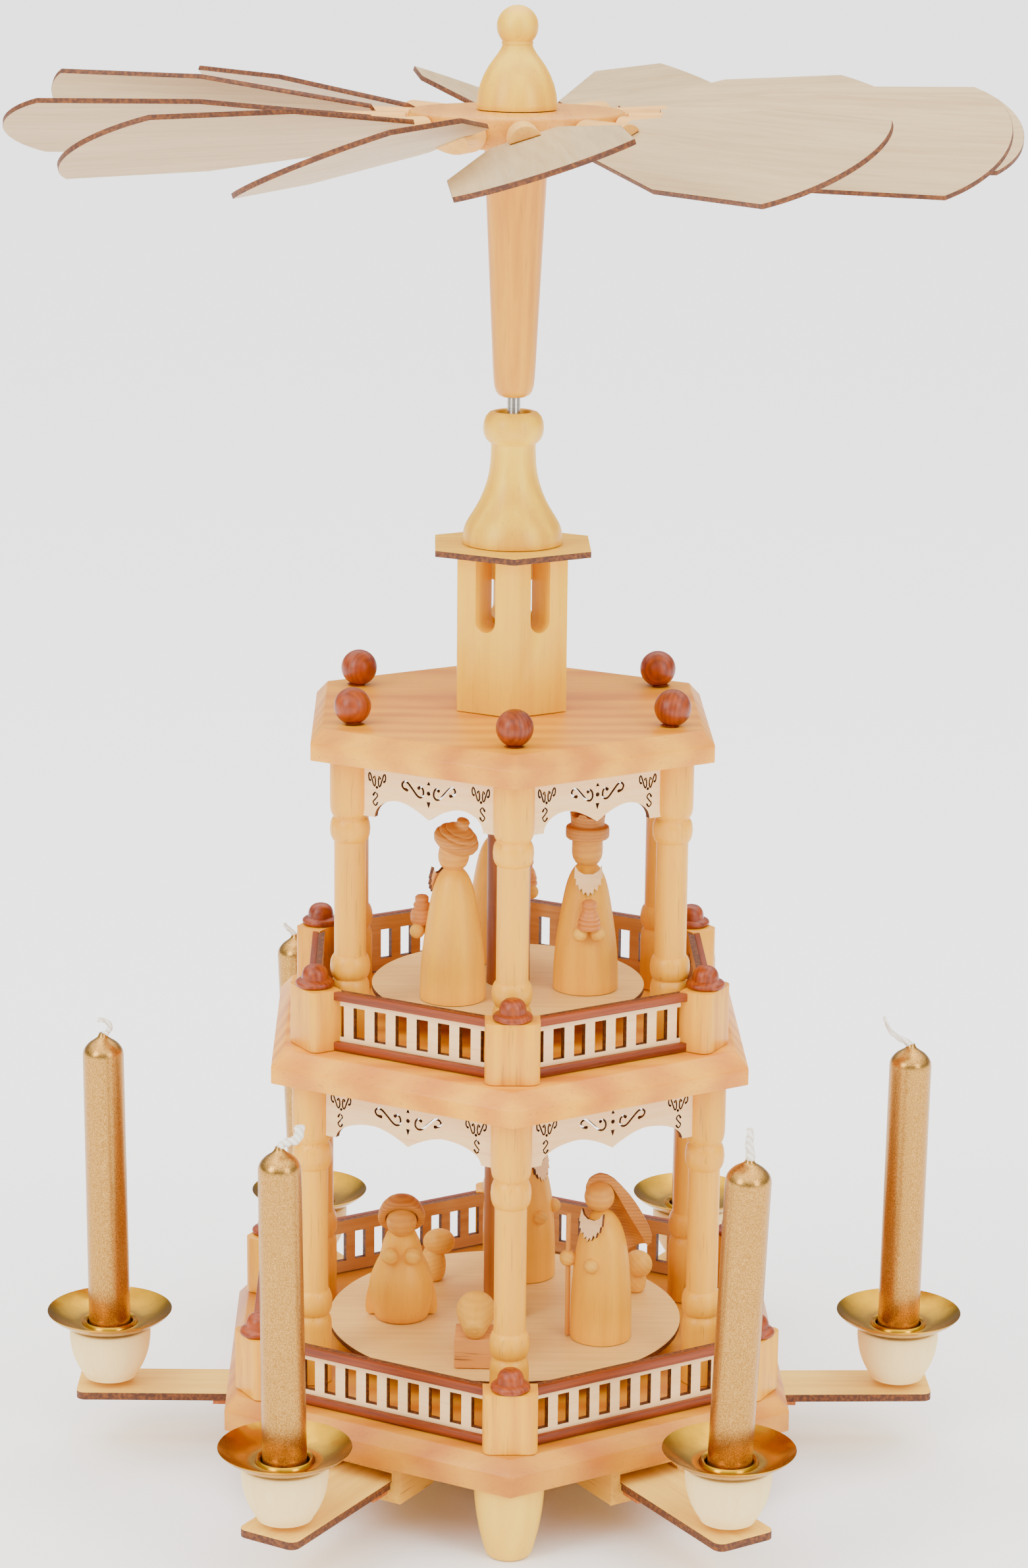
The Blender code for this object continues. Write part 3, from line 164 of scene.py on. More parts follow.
# Feet: three short turned wooden feet under every second corner of the base, lacquered clear.
# The outline is cut on the lathe; the sole is narrower than the shoulder under the plate.
MM = 0.001
FOOT_REACH = 88.0
FOOT_OUTLINE = (
    (5.0, 0.0), (6.4, 0.35), (7.3, 1.4), (8.2, 4.4), (9.1, 8.2), (9.9, 12.4), (10.5, 16.6),
    (10.85, 20.6), (10.9, 23.0), (10.6, 25.2),
)


def turned_piece(name, outline, material, sides=56, lean=40, place=None):
    """Draw a ring up along an outline in millimetres, close both ends and smooth the turned skin."""
    bpy.context.tool_settings.mesh_select_mode = (True, False, False)
    bpy.ops.object.select_all(action='DESELECT')
    radius, height = outline[0]
    bpy.ops.mesh.primitive_circle_add(vertices=sides, radius=radius * MM, location=(0, 0, height * MM))
    piece = bpy.context.object
    piece.name = name
    bpy.ops.object.mode_set(mode='EDIT')
    bpy.ops.mesh.select_all(action='SELECT')
    for (r, z), (next_r, next_z) in zip(outline, outline[1:]):
        bpy.ops.mesh.extrude_region_move(TRANSFORM_OT_translate={"value": (0, 0, (next_z - z) * MM)})
        bpy.ops.transform.resize(value=(next_r / r, next_r / r, 1), center_override=(0, 0, 0))
    bpy.ops.mesh.select_all(action='SELECT')
    bpy.ops.mesh.fill_holes(sides=0)
    bpy.ops.mesh.normals_make_consistent(inside=False)
    bpy.ops.object.mode_set(mode='OBJECT')
    bpy.ops.object.transform_apply(location=True, rotation=True, scale=True)
    bpy.ops.object.shade_smooth_by_angle(angle=math.radians(lean))
    piece.data.materials.append(material)
    if place is not None:
        piece.data.transform(place)
    return piece


# Each copy starts a little further along its plank, so that no two show the same grain.
GRAIN_STEP, GRAIN_STARTS = 0.0137, 29


def mark_grain(piece, start=0.0):
    """Note where each point lies in its plank, so that the grain stays with a piece when it moves."""
    if "grain" not in piece.data.attributes:
        layer = piece.data.attributes.new("grain", 'FLOAT_VECTOR', 'POINT')
        places = [value + start for point in piece.data.vertices for value in point.co]
        layer.data.foreach_set("vector", places)


def copy_piece(piece, name, place):
    """A further piece with its own mesh and its own stretch of grain, moved by a matrix."""
    made = piece.copy()
    made.data = piece.data.copy()
    made.name = name
    bpy.context.scene.collection.objects.link(made)
    mark_grain(made, GRAIN_STEP * (len(bpy.data.objects) % GRAIN_STARTS))
    made.data.transform(place)
    return made


def settle(piece, body, node):
    """Note a piece's grain, let it ride on its body and stand for a CAD node, whose part is hidden."""
    mark_grain(piece)
    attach(piece, body)
    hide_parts(node)


def flowing(points, steps=4):
    """A smooth curve through the points of an outline."""
    ends = [points[0]] + list(points) + [points[-1]]
    made = []
    for a, b, c, d in zip(ends, ends[1:], ends[2:], ends[3:]):
        for i in range(steps):
            t = i / steps
            made.append(tuple(
                0.5 * (2 * q + (r - p) * t + (2 * p - 5 * q + 4 * r - s) * t ** 2
                       + (3 * q - p - 3 * r + s) * t ** 3)
                for p, q, r, s in zip(a, b, c, d)
            ))
    return made + [tuple(points[-1])]


def shift(x, y, z):
    """Matrix of a move in millimetres."""
    return Matrix.Translation((x * MM, y * MM, z * MM))


def spin(degrees, axis='Z'):
    """Matrix of a turn."""
    return Matrix.Rotation(math.radians(degrees), 4, axis)


# A ring pattern of scale 1 repeats every 0.314 m. Grain is drawn out twenty times along the wood,
# its streaks 2 mm apart, the cloudy patches 18 mm and the flecks, which are pores, under 1 mm.
RING_REPEAT = 0.314
GRAIN_STRETCH = 0.05
GRAIN_SCALE, CLOUD_SCALE, FLECK_SCALE = 420.0, 55.0, 1500.0
FLECK_BROWN = "7A4A22"


def wood(name, pale, deep, along, ring_gap=7.0, ring_share=0.35, grain_share=0.35, roughness=0.42,
         coat=0.16, heart=(0.0, 0.02, -0.05), flecks=0.35, bump=0.25, cloud_share=0.42):
    """Wood with growth rings round a heart line, fine grain and small dark flecks along one axis."""
    material, shader = new_material(name, roughness, coat=coat)
    shader.inputs["Coat Roughness"].default_value = 0.32
    shader.inputs["Specular IOR Level"].default_value = 0.32
    drawn = [GRAIN_STRETCH if axis == along else 1.0 for axis in 'XYZ']
    place = add_node(material, 'ShaderNodeAttribute', {}, out="Vector", attribute_name="grain")
    grain_space = add_node(material, 'ShaderNodeMapping', {"Vector": place, "Scale": drawn})
    ring_space = add_node(material, 'ShaderNodeMapping', {"Vector": place, "Location": heart})
    rings = add_node(material, 'ShaderNodeTexWave', {
        "Vector": ring_space, "Scale": RING_REPEAT / (ring_gap * MM), "Distortion": 2.6, "Detail": 2.0,
        "Detail Scale": 0.55, "Detail Roughness": 0.5,
    }, out=1, wave_type='RINGS', rings_direction=along)
    grain = add_node(material, 'ShaderNodeTexNoise', {
        "Vector": grain_space, "Scale": GRAIN_SCALE, "Detail": 6.0, "Roughness": 0.62, "Distortion": 0.2,
    })
    clouds = add_node(material, 'ShaderNodeTexNoise', {
        "Vector": grain_space, "Scale": CLOUD_SCALE, "Detail": 3.0,
    })
    spots = add_node(material, 'ShaderNodeTexNoise', {
        "Vector": grain_space, "Scale": FLECK_SCALE, "Detail": 1.0, "Roughness": 0.4,
    })
    depth = add_node(material, 'ShaderNodeMath', {0: rings, 1: ring_share}, operation='MULTIPLY')
    for pattern, low, high, share in ((grain, 0.36, 0.68, grain_share), (clouds, 0.35, 0.70, cloud_share)):
        part = add_node(material, 'ShaderNodeMapRange', {
            "Value": pattern, "From Min": low, "From Max": high, "To Max": share,
        })
        depth = add_node(
            material, 'ShaderNodeMath', {0: depth, 1: part}, operation='ADD', use_clamp=pattern == clouds,
        )
    colour = add_node(
        material, 'ShaderNodeMix', {"Factor": depth, 6: linear(pale), 7: linear(deep)},
        out=2, data_type='RGBA',
    )
    spotted = add_node(material, 'ShaderNodeMapRange', {
        "Value": spots, "From Min": 0.64, "From Max": 0.74, "To Max": flecks,
    })
    flecked = add_node(
        material, 'ShaderNodeMix', {"Factor": spotted, 6: colour, 7: linear(FLECK_BROWN)},
        out=2, data_type='RGBA',
    )
    relief = add_node(
        material, 'ShaderNodeBump', {"Height": grain, "Strength": bump, "Distance": 0.15 * MM},
    )
    material.node_tree.links.new(flecked, shader.inputs["Base Color"])
    material.node_tree.links.new(relief, shader.inputs["Normal"])
    return material


def discard(*patterns):
    """Throw away tools, and patterns that the shown pieces were copied from."""
    for pattern in patterns:
        bpy.data.objects.remove(pattern, do_unlink=True)


# Clear satin lacquer on pale turned wood: a light honey tone with little grain.
foot_wood = wood("lacquered_foot_lime", "FDCF3D", "E7A727", 'Z', ring_share=0.15, grain_share=0.22,
                 flecks=0.1)
foot = turned_piece("turned_foot", flowing(FOOT_OUTLINE, 2), foot_wood)
for i, name in enumerate("abc"):
    place = spin(120 * i) @ shift(0, -FOOT_REACH, 0)
    settle(copy_piece(foot, "foot_" + name, place), "stand", f"foot_{i + 1}")
discard(foot)

# Plates: three hexagonal beech boards, each with a broad chamfer round its upper edge, glued up
# from strips, so that the growth rings run in bands across their sides. A hole clears the axle.
# Each board's name, corner radius, thickness, chamfer, underside height, hole radius and CAD node.
PLATES = (
    ("base_board", 104.0, 11.0, 4.3, 25.5, 7.3, "base_plate"),
    ("middle_board", 86.7, 10.3, 4.8, 138.7, 9.0, "middle_plate"),
    ("top_board", 72.4, 9.9, 4.3, 241.3, 4.0, "top_plate"),
)
DRILL_LENGTH, BEARING_DEPTH = 40, 4.5
# Lacquered beech strips: honey gold, with broad orange growth rings that fade into each other.
plate_woods = (
    wood("lacquered_base_board", "D9930C", "B56202", 'X', ring_gap=12.0, ring_share=0.55, grain_share=0.16,
         heart=(0.0, -0.04, 0.02), flecks=0.22),
    wood("lacquered_middle_board", "FAAD02", "D07301", 'X', ring_gap=11.0, ring_share=0.55,
         grain_share=0.16, heart=(0.0, -0.03, -0.115), flecks=0.25),
    wood("lacquered_top_board", "F4A904", "CC7501", 'X', ring_gap=9.0, ring_share=0.5, grain_share=0.18,
         heart=(0.0, -0.03, -0.215), flecks=0.2),
)


def pick_faces(piece, test):
    """Select the faces of the open piece that a test of their normal and centre accepts."""
    bpy.context.tool_settings.mesh_select_mode = (False, False, True)
    bpy.ops.mesh.select_all(action='DESELECT')
    bpy.ops.object.mode_set(mode='OBJECT')
    for face in piece.data.polygons:
        face.select = test(face.normal, face.center)
    bpy.ops.object.mode_set(mode='EDIT')


def activate(piece):
    """Make a piece the only selected one."""
    bpy.ops.object.select_all(action='DESELECT')
    piece.select_set(True)
    bpy.context.view_layer.objects.active = piece


def soften(piece, width, segments=2, angle=30):
    """Break the sharp edges of a piece."""
    activate(piece)
    bevel = piece.modifiers.new("broken_edges", 'BEVEL')
    bevel.width = width * MM
    bevel.segments = segments
    bevel.limit_method = 'ANGLE'
    bevel.angle_limit = math.radians(angle)
    bpy.ops.object.modifier_apply(modifier=bevel.name)
    bpy.ops.object.shade_smooth_by_angle(angle=math.radians(40))


def cut_out(piece, cutter):
    """Cut a tool piece out of another and throw the tool away."""
    activate(piece)
    cut = piece.modifiers.new("cut", 'BOOLEAN')
    cut.operation = 'DIFFERENCE'
    cut.solver = 'EXACT'
    cut.object = cutter
    bpy.ops.object.modifier_apply(modifier=cut.name)
    discard(cutter)


for (name, radius, thick, chamfer, bottom, hole_r, node), material in zip(PLATES, plate_woods):
    bpy.ops.object.select_all(action='DESELECT')
    straight = thick - chamfer
    bpy.ops.mesh.primitive_cylinder_add(
        vertices=6, radius=radius * MM, depth=straight * MM, location=(0, 0, (bottom + straight / 2) * MM),
    )
    board = bpy.context.object
    board.name = name
    bpy.ops.object.transform_apply(location=True, rotation=True, scale=True)
    bpy.ops.object.mode_set(mode='EDIT')
    pick_faces(board, lambda normal, centre: normal.z > 0.9)
    bpy.ops.mesh.extrude_region_move(TRANSFORM_OT_translate={"value": (0, 0, chamfer * MM)})
    share = (radius - chamfer) / radius
    bpy.ops.transform.resize(value=(share, share, 1), center_override=(0, 0, 0))
    bpy.ops.object.mode_set(mode='OBJECT')
    soften(board, 0.35)
    bpy.ops.object.select_all(action='DESELECT')
    bpy.ops.mesh.primitive_cylinder_add(
        vertices=48, radius=hole_r * MM, depth=DRILL_LENGTH * MM,
        location=(0, 0, (bottom + thick / 2) * MM),
    )
    drill = bpy.context.object
    if name == "base_board":
        drill.location.z += (DRILL_LENGTH / 2 + thick / 2 - BEARING_DEPTH) * MM
    cut_out(board, drill)
    bpy.ops.object.shade_smooth_by_angle(angle=math.radians(40))
    board.data.materials.clear()
    board.data.materials.append(material)
    settle(board, "stand", node)

# Guide blocks: under each side of the base a sawn beech block is glued, with a slot through
# which the arm slides. It is left raw, so it is paler and duller than the lacquered plate. The
# blocks are glued on by eye, so each arm points its own way, as its pan does in the frame.
BLOCK_WIDE, BLOCK_HIGH, BLOCK_DEEP = 28.4, 12.5, 20.0
SLOT_WIDE, SLOT_LOW, SLOT_HIGH = 21.6, 6.7, 9.8
BLOCK_REACH, BLOCK_FOOT = 86.5, 13.0
# Sawn beech without a finish: dull, with many dark flecks.
raw_block = wood(
    "raw_sawn_beech", "E8AE3A", "C98623", 'Y', ring_share=0.15, flecks=0.5, roughness=0.7, coat=0.0,
)


def cut_board(name, outline, holes, thick):
    """Cut a flat board by an outline and holes in millimetres, upright in XZ, its front at y = 0."""
    bpy.ops.object.select_all(action='DESELECT')
    curve = bpy.data.curves.new(name, 'CURVE')
    curve.dimensions = '2D'
    curve.fill_mode = 'BOTH'
    curve.extrude = thick / 2 * MM
    for loop in [outline] + list(holes):
        spline = curve.splines.new('POLY')
        spline.points.add(len(loop) - 1)
        for point, (x, y) in zip(spline.points, loop):
            point.co = (x * MM, y * MM, 0, 1)
        spline.use_cyclic_u = True
    board = bpy.data.objects.new(name, curve)
    bpy.context.scene.collection.objects.link(board)
    activate(board)
    bpy.ops.object.convert(target='MESH')
    bpy.ops.object.mode_set(mode='EDIT')
    bpy.ops.mesh.select_all(action='SELECT')
    bpy.ops.mesh.remove_doubles(threshold=0.00001)
    bpy.ops.mesh.normals_make_consistent(inside=False)
    bpy.ops.object.mode_set(mode='OBJECT')
    board.data.transform(shift(0, thick / 2, 0) @ spin(90, 'X'))
    return board


def two_tone(board, face, edge, back=None):
    """Give a board its face finish and its cut edges another, and a further one to its back."""
    board.data.materials.clear()
    for material in (face, edge, back or face):
        board.data.materials.append(material)
    for polygon in board.data.polygons:
        if abs(polygon.normal.y) < 0.5:
            polygon.material_index = 1
        elif polygon.normal.y > 0:
            polygon.material_index = 2
        polygon.use_smooth = False


def box_loop(width, low, high, middle=0.0):
    """Corner points of a rectangle."""
    left, right = middle - width / 2, middle + width / 2
    return ((left, low), (right, low), (right, high), (left, high))


arm_slot = box_loop(SLOT_WIDE, SLOT_LOW, SLOT_HIGH)
block = cut_board("guide_block", box_loop(BLOCK_WIDE, 0.0, BLOCK_HIGH), [arm_slot], BLOCK_DEEP)
block.data.materials.append(raw_block)
soften(block, 0.3)
seats = []
for i in range(6):
    low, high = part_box(f"drip_pan_{i + 1}")
    seats.append(((low + high) / 2) / MM)
swings = [math.degrees(math.atan2(seat.y, seat.x)) + 90 for seat in seats]
for i, swing in enumerate(swings):
    place = spin(swing) @ shift(0, -BLOCK_REACH, BLOCK_FOOT)
    settle(copy_piece(block, f"guide_block_{i + 1}", place), "stand", "base_plate")
discard(block)

# Arms: strips of 2.5 mm birch ply cut by laser, so that their edges are burnt dark brown. Each
# has round outer corners and a small ply stop glued underneath, which meets the guide block.
ARM_WIDE, ARM_THICK, ARM_TIP, ARM_TAIL, ARM_ROUND = 21.0, 2.5, 10.6, 99.3, 3.0
ARM_LEVEL = 20.0
STOP_WIDE, STOP_THICK, STOP_NEAR, STOP_FAR = 20.0, 2.0, 34.5, 42.5


def ply(name, pale, deep, along='X', roughness=0.55, grain_share=0.5):
    """The face of birch ply: very pale, with long soft figure and short fine pores."""
    return wood(name, pale, deep, along, ring_gap=26.0, ring_share=0.22, grain_share=grain_share,
                roughness=roughness, coat=0.08, heart=(0.0, 0.31, -0.4), flecks=0.12, bump=0.15,
                cloud_share=0.12)


def burnt_edge(name, dark, light):
    """A laser-cut edge: charred dark brown with lighter veneer lines."""
    material, shader = new_material(name, 0.65)
    coordinates = add_node(material, 'ShaderNodeTexCoord', {}, out="Object")
    soot = add_node(material, 'ShaderNodeTexNoise', {
        "Vector": coordinates, "Scale": 900.0, "Detail": 3.0,
    })
    share = add_node(material, 'ShaderNodeMapRange', {
        "Value": soot, "From Min": 0.42, "From Max": 0.72, "To Max": 0.6,
    })
    colour = add_node(
        material, 'ShaderNodeMix', {"Factor": share, 6: linear(dark), 7: linear(light)},
        out=2, data_type='RGBA',
    )
    material.node_tree.links.new(colour, shader.inputs["Base Color"])
    return material


# Sanded birch: cream, with a faint warm figure. The laser leaves sooty brown on its edges, and
# heat has toasted the small stops to a lighter red-brown.
arm_ply = ply("sanded_birch_ply_arm", "FFD560", "E7B146", 'Y')
char = burnt_edge("laser_burnt_edge", "4A2102", "9B5409")
stop_ply = burnt_edge("toasted_stop_ply", "A24D08", "CF7A17")


def arc(radius, start, stop, steps, x=0.0, y=0.0):
    """Points along a part of a circle round x, y, its angles in degrees."""
    turns = [math.radians(start + (stop - start) * k / steps) for k in range(steps + 1)]
    return [(x + radius * math.cos(turn), y + radius * math.sin(turn)) for turn in turns]


strip_loop = []
for side, start in ((1, 0), (-1, -90)):
    middle = side * (ARM_WIDE / 2 - ARM_ROUND)
    strip_loop += arc(ARM_ROUND, start, start - 90, 5, middle, ARM_ROUND - ARM_TIP)
strip_loop += [(-ARM_WIDE / 2, ARM_TAIL), (ARM_WIDE / 2, ARM_TAIL)]
arm = cut_board("arm_strip", strip_loop, (), ARM_THICK)
two_tone(arm, arm_ply, char)
arm.data.transform(shift(0, 0, ARM_LEVEL) @ spin(-90, 'X'))
stop = cut_board("arm_stop", box_loop(STOP_WIDE, STOP_NEAR, STOP_FAR), (), STOP_THICK)
stop.data.materials.append(stop_ply)
soften(stop, 0.25)
stop.data.transform(shift(0, 0, ARM_LEVEL - STOP_THICK) @ spin(-90, 'X'))
for i, (seat, swing) in enumerate(zip(seats, swings)):
    place = shift(seat.x, seat.y, 0) @ spin(swing)
    for piece, name in ((arm, "arm_strip"), (stop, "arm_stop")):
        made = copy_piece(piece, f"{name}_{i + 1}", place)
        settle(made, f"arm_body_{i + 1}", f"arm_{i + 1}")
discard(arm, stop)

# Cups: small round cups of whitish unfinished lime, turned and bored, glued on the arm's end.
# The bare wood is matt and nearly white, and its grain hardly shows.
cup_wood = wood("raw_turned_lime", "FFE39C", "F8D086", 'Z', ring_share=0.10, grain_share=0.3,
                roughness=0.6, coat=0.0, flecks=0.05)
CUP_OUTLINE = (
    (8.6, 0.0), (8.75, 0.5), (9.3, 1.4), (10.5, 3.4), (11.7, 6.0), (12.6, 8.8), (13.1, 11.6),
    (13.35, 14.2), (13.3, 16.2), (13.1, 17.1), (12.7, 17.3),
)
bore = [(8.15, 17.3), (8.15, 10.5), (0.02, 10.5)]
on_arm = shift(0, 0, ARM_LEVEL + ARM_THICK)
cup = turned_piece("cup", flowing(CUP_OUTLINE, 2) + bore, cup_wood, place=on_arm)

# Drip pans: thin pressed brass, a shallow cone with a rolled collar round the candle's socket.
# The metal is bright but unevenly burnished: soft darker smears and a slightly dented reflection.
brass, shader = new_material("pressed_brass", 0.24, metallic=1.0)
coordinates = add_node(brass, 'ShaderNodeTexCoord', {}, out="Object")
smears = add_node(brass, 'ShaderNodeTexNoise', {"Vector": coordinates, "Scale": 75.0, "Detail": 4.0})
tone = add_node(brass, 'ShaderNodeMapRange', {"Value": smears, "From Min": 0.35, "From Max": 0.7})
colour = add_node(
    brass, 'ShaderNodeMix', {"Factor": tone, 6: linear("B98808"), 7: linear("936708")},
    out=2, data_type='RGBA',
)
dull = add_node(brass, 'ShaderNodeMapRange', {
    "Value": smears, "From Min": 0.3, "From Max": 0.7, "To Min": 0.16, "To Max": 0.32,
})
dents = add_node(brass, 'ShaderNodeTexNoise', {"Vector": coordinates, "Scale": 120.0, "Detail": 2.0})
relief = add_node(brass, 'ShaderNodeBump', {"Height": dents, "Strength": 0.25, "Distance": 0.6 * MM})
brass.node_tree.links.new(colour, shader.inputs["Base Color"])
brass.node_tree.links.new(dull, shader.inputs["Roughness"])
brass.node_tree.links.new(relief, shader.inputs["Normal"])
PAN_OUTLINE = (
    (0.02, 10.8), (7.85, 10.8), (7.85, 17.55), (9.3, 17.6), (12.4, 18.1), (16.0, 19.4), (19.2, 21.5),
    (20.2, 22.5), (20.5, 22.9), (20.35, 23.0), (19.1, 22.0), (16.0, 19.95), (12.4, 18.7), (9.6, 18.2),
    (9.2, 18.35), (8.95, 19.1), (8.5, 19.5), (7.9, 19.35), (7.4, 18.8), (7.15, 17.9), (7.15, 11.5),
    (0.02, 11.5),
)
pan = turned_piece("drip_pan", PAN_OUTLINE, brass, sides=72, lean=35, place=on_arm)

# Candles: small tree candles dipped in gold metallic wax, tapered, with a domed shoulder.
# The paint is a fine metal flake, so it glints softly, and the cotton wick is bent and waxed white.
gold_wax, shader = new_material("gold_metallic_wax", 0.3, metallic=0.95)
coordinates = add_node(gold_wax, 'ShaderNodeTexCoord', {}, out="Object")
flakes = add_node(gold_wax, 'ShaderNodeTexNoise', {"Vector": coordinates, "Scale": 2600.0, "Detail": 1.0})
share = add_node(gold_wax, 'ShaderNodeMapRange', {"Value": flakes, "From Min": 0.35, "From Max": 0.7})
colour = add_node(
    gold_wax, 'ShaderNodeMix', {"Factor": share, 6: linear("A0702E"), 7: linear("C99A50")},
    out=2, data_type='RGBA',
)
relief = add_node(gold_wax, 'ShaderNodeBump', {"Height": flakes, "Strength": 0.14, "Distance": 0.1 * MM})
gold_wax.node_tree.links.new(colour, shader.inputs["Base Color"])
gold_wax.node_tree.links.new(relief, shader.inputs["Normal"])
# Each candle's radius at its head, length, leans in degrees to the side and forwards, the bends of
# its wick and the wick's half thickness at its foot and tip, all as the candles stand in the frame.
CANDLES = (
    (6.95, 103.5, 2.0, 2.0, ((0, 0), (0.1, 2.6), (-0.5, 5.4), (-0.3, 7.8), (-0.6, 10.2)), (1.5, 1.0)),
    (6.85, 102.0, 0.6, 0.0,
     ((0, 0), (-1.8, 1.5), (-4.6, 3.0), (-7.2, 5.2), (-8.5, 8.0), (-9.4, 9.8)), (1.2, 0.5)),
    (6.45, 104.0, 0.3, 0.0, ((0, 0), (0.4, 2.0), (0.9, 3.6)), (1.0, 0.7)),
    (6.55, 104.5, -2.6, 0.0, ((0, 0), (-1.0, 1.6), (-2.6, 3.2), (-3.8, 4.8)), (1.1, 0.6)),
    (6.65, 104.6, -0.5, 0.0,
     ((0, 0), (1.4, 0.9), (2.5, 2.8), (1.5, 4.5), (-0.3, 5.3), (-1.6, 5.1)), (0.95, 0.7)),
    (6.50, 105.0, -0.7, 0.0,
     ((0, 0), (1.0, 1.5), (3.0, 2.3), (5.2, 3.0), (6.1, 5.2), (6.1, 7.2)), (1.1, 1.6)),
)
CANDLE_SEAT = 34.4


def candle_outline(head, length):
    """Outline of a tapered candle whose shoulder rises to a small neck round the wick."""
    shoulder = flowing((
        (head, length - 6.4), (head, length - 5.5), (head * 0.97, length - 4.2),
        (head * 0.87, length - 2.9), (head * 0.68, length - 1.5), (head * 0.46, length - 0.5),
        (2.0, length + 0.3), (1.5, length + 1.0), (1.2, length + 1.8),
    ), 2)
    return [(6.3, 0.0), (6.8, 0.5), (6.85, 2.0)] + shoulder


# Twisted cotton under a skin of wax: off-white and matt, with slanting darker threads.
wick_cotton, shader = new_material("waxed_cotton_wick", 0.6)
coordinates = add_node(wick_cotton, 'ShaderNodeTexCoord', {}, out="Object")
twist = add_node(
    wick_cotton, 'ShaderNodeTexWave', {"Vector": coordinates, "Scale": 260.0, "Distortion": 3.0},
    out=1, bands_direction='DIAGONAL',
)
colour = add_node(wick_cotton, 'ShaderNodeMix', {
    "Factor": twist, 6: linear("FBF6EA"), 7: linear("D9CBB2"),
}, out=2, data_type='RGBA')
wick_cotton.node_tree.links.new(colour, shader.inputs["Base Color"])
for i, (head, length, lean, forward_lean, bends, (thick, thin)) in enumerate(CANDLES):
    seat, swing = seats[i], swings[i]
    place = shift(seat.x, seat.y, 0) @ spin(swing)
    body, candle_body, node = f"arm_body_{i + 1}", f"candle_body_{i + 1}", f"candle_{i + 1}"
    settle(copy_piece(cup, f"cup_{i + 1}", place), body, f"arm_{i + 1}")
    settle(copy_piece(pan, f"pan_{i + 1}", place), body, f"drip_pan_{i + 1}")
    place = shift(seat.x, seat.y, CANDLE_SEAT) @ spin(lean, 'Y') @ spin(forward_lean, 'X')
    outline = candle_outline(head, length)
    candle = turned_piece(f"tree_candle_{i + 1}", outline, gold_wax, sides=48, lean=50, place=place)
    settle(candle, candle_body, node)
    bpy.ops.object.select_all(action='DESELECT')
    curve = bpy.data.curves.new(f"wick_{i + 1}", 'CURVE')
    curve.dimensions = '3D'
    curve.bevel_depth = MM
    curve.bevel_resolution = 3
    curve.use_fill_caps = True
    points = flowing(bends, 5)
    spline = curve.splines.new('POLY')
    spline.points.add(len(points) - 1)
    for k, (point, (x, z)) in enumerate(zip(spline.points, points)):
        share = k / (len(points) - 1)
        point.co = (x * MM, 0, (length + 1.0 + z) * MM, 1)
        point.radius = (thick + (thin - thick) * share) * (1 + 0.10 * math.sin(5.0 * k))
    wick = bpy.data.objects.new(f"wick_{i + 1}", curve)
    bpy.context.scene.collection.objects.link(wick)
    activate(wick)
    bpy.ops.object.convert(target='MESH')
    bpy.ops.object.shade_smooth_by_angle(angle=math.radians(60))
    wick.data.transform(place)
    wick.data.materials.clear()
    wick.data.materials.append(wick_cotton)
    settle(wick, candle_body, node)
discard(cup, pan)

# Balustrades: on each plate six square posts stand at the corners, and between them thin ply
# panels are let in, with ten or eight upright windows cut by laser. A stained rail is glued
# along the top and the foot of each panel. The ply is cream in front. Its back is bare ply, painted
# browner as shade, because the backs face the shaded inside of each tier.
panel_ply = ply("cream_ply_panel", "FFD99E", "F1BE7A", 'X')
# Back of the ply: bare ply whose darker, browner colour is painted shade for the inward-facing sides.
ply_back_with_painted_shade = ply("bare_ply_back_painted_shade", "D9A868", "B07943", 'X', roughness=0.6)
# Clear satin lacquer on sawn beech: honey gold, with close rings and small flecks.
post_wood = wood("lacquered_post_beech", "F7B306", "D78802", 'Z', ring_gap=5.0, ring_share=0.3,
                 heart=(0.01, 0.03, 0.0), flecks=0.3)


def stain(name, pale, deep, along, roughness=0.4):
    """Red-brown stain over turned or sawn wood: darker in the grain, scuffed paler in places."""
    return wood(name, pale, deep, along, ring_gap=1.4, ring_share=0.28, grain_share=0.5,
                roughness=roughness, coat=0.14, heart=(0.0, 0.0, 0.0), flecks=0.5, bump=0.35)


rail_stain = stain("stained_rail", "994004", "612202", 'X', 0.5)
knob_stain = stain("stained_knob", "A44401", "672101", 'Z')
CAP_OUTLINE = (
    (5.5, 0.0), (6.05, 0.35), (6.2, 0.95), (6.1, 1.5), (5.6, 2.0), (4.8, 2.3), (4.3, 2.55), (4.2, 3.0),
    (4.18, 3.7), (3.95, 4.7), (3.4, 5.7), (2.5, 6.45), (1.3, 6.85), (0.02, 6.9),
)
WINDOW_PITCH, WINDOW_WIDE, WINDOW_LOW, WINDOW_HIGH = 7.6, 4.1, 4.2, 14.3
PANEL_INSET, PANEL_LOW, PANEL_HIGH, PANEL_THICK = 4.6, 0.2, 18.8, 2.0
RAIL_INSET, RAIL_HIGH, RAIL_THICK, RAIL_LEVELS = 8.1, 2.7, 2.0, (0.1, 16.3)
POST_WIDE, POST_DEEP, POST_ROUND, POST_HIGH, CAP_BACK = 17.0, 10.2, 3.0, 19.3, 5.4
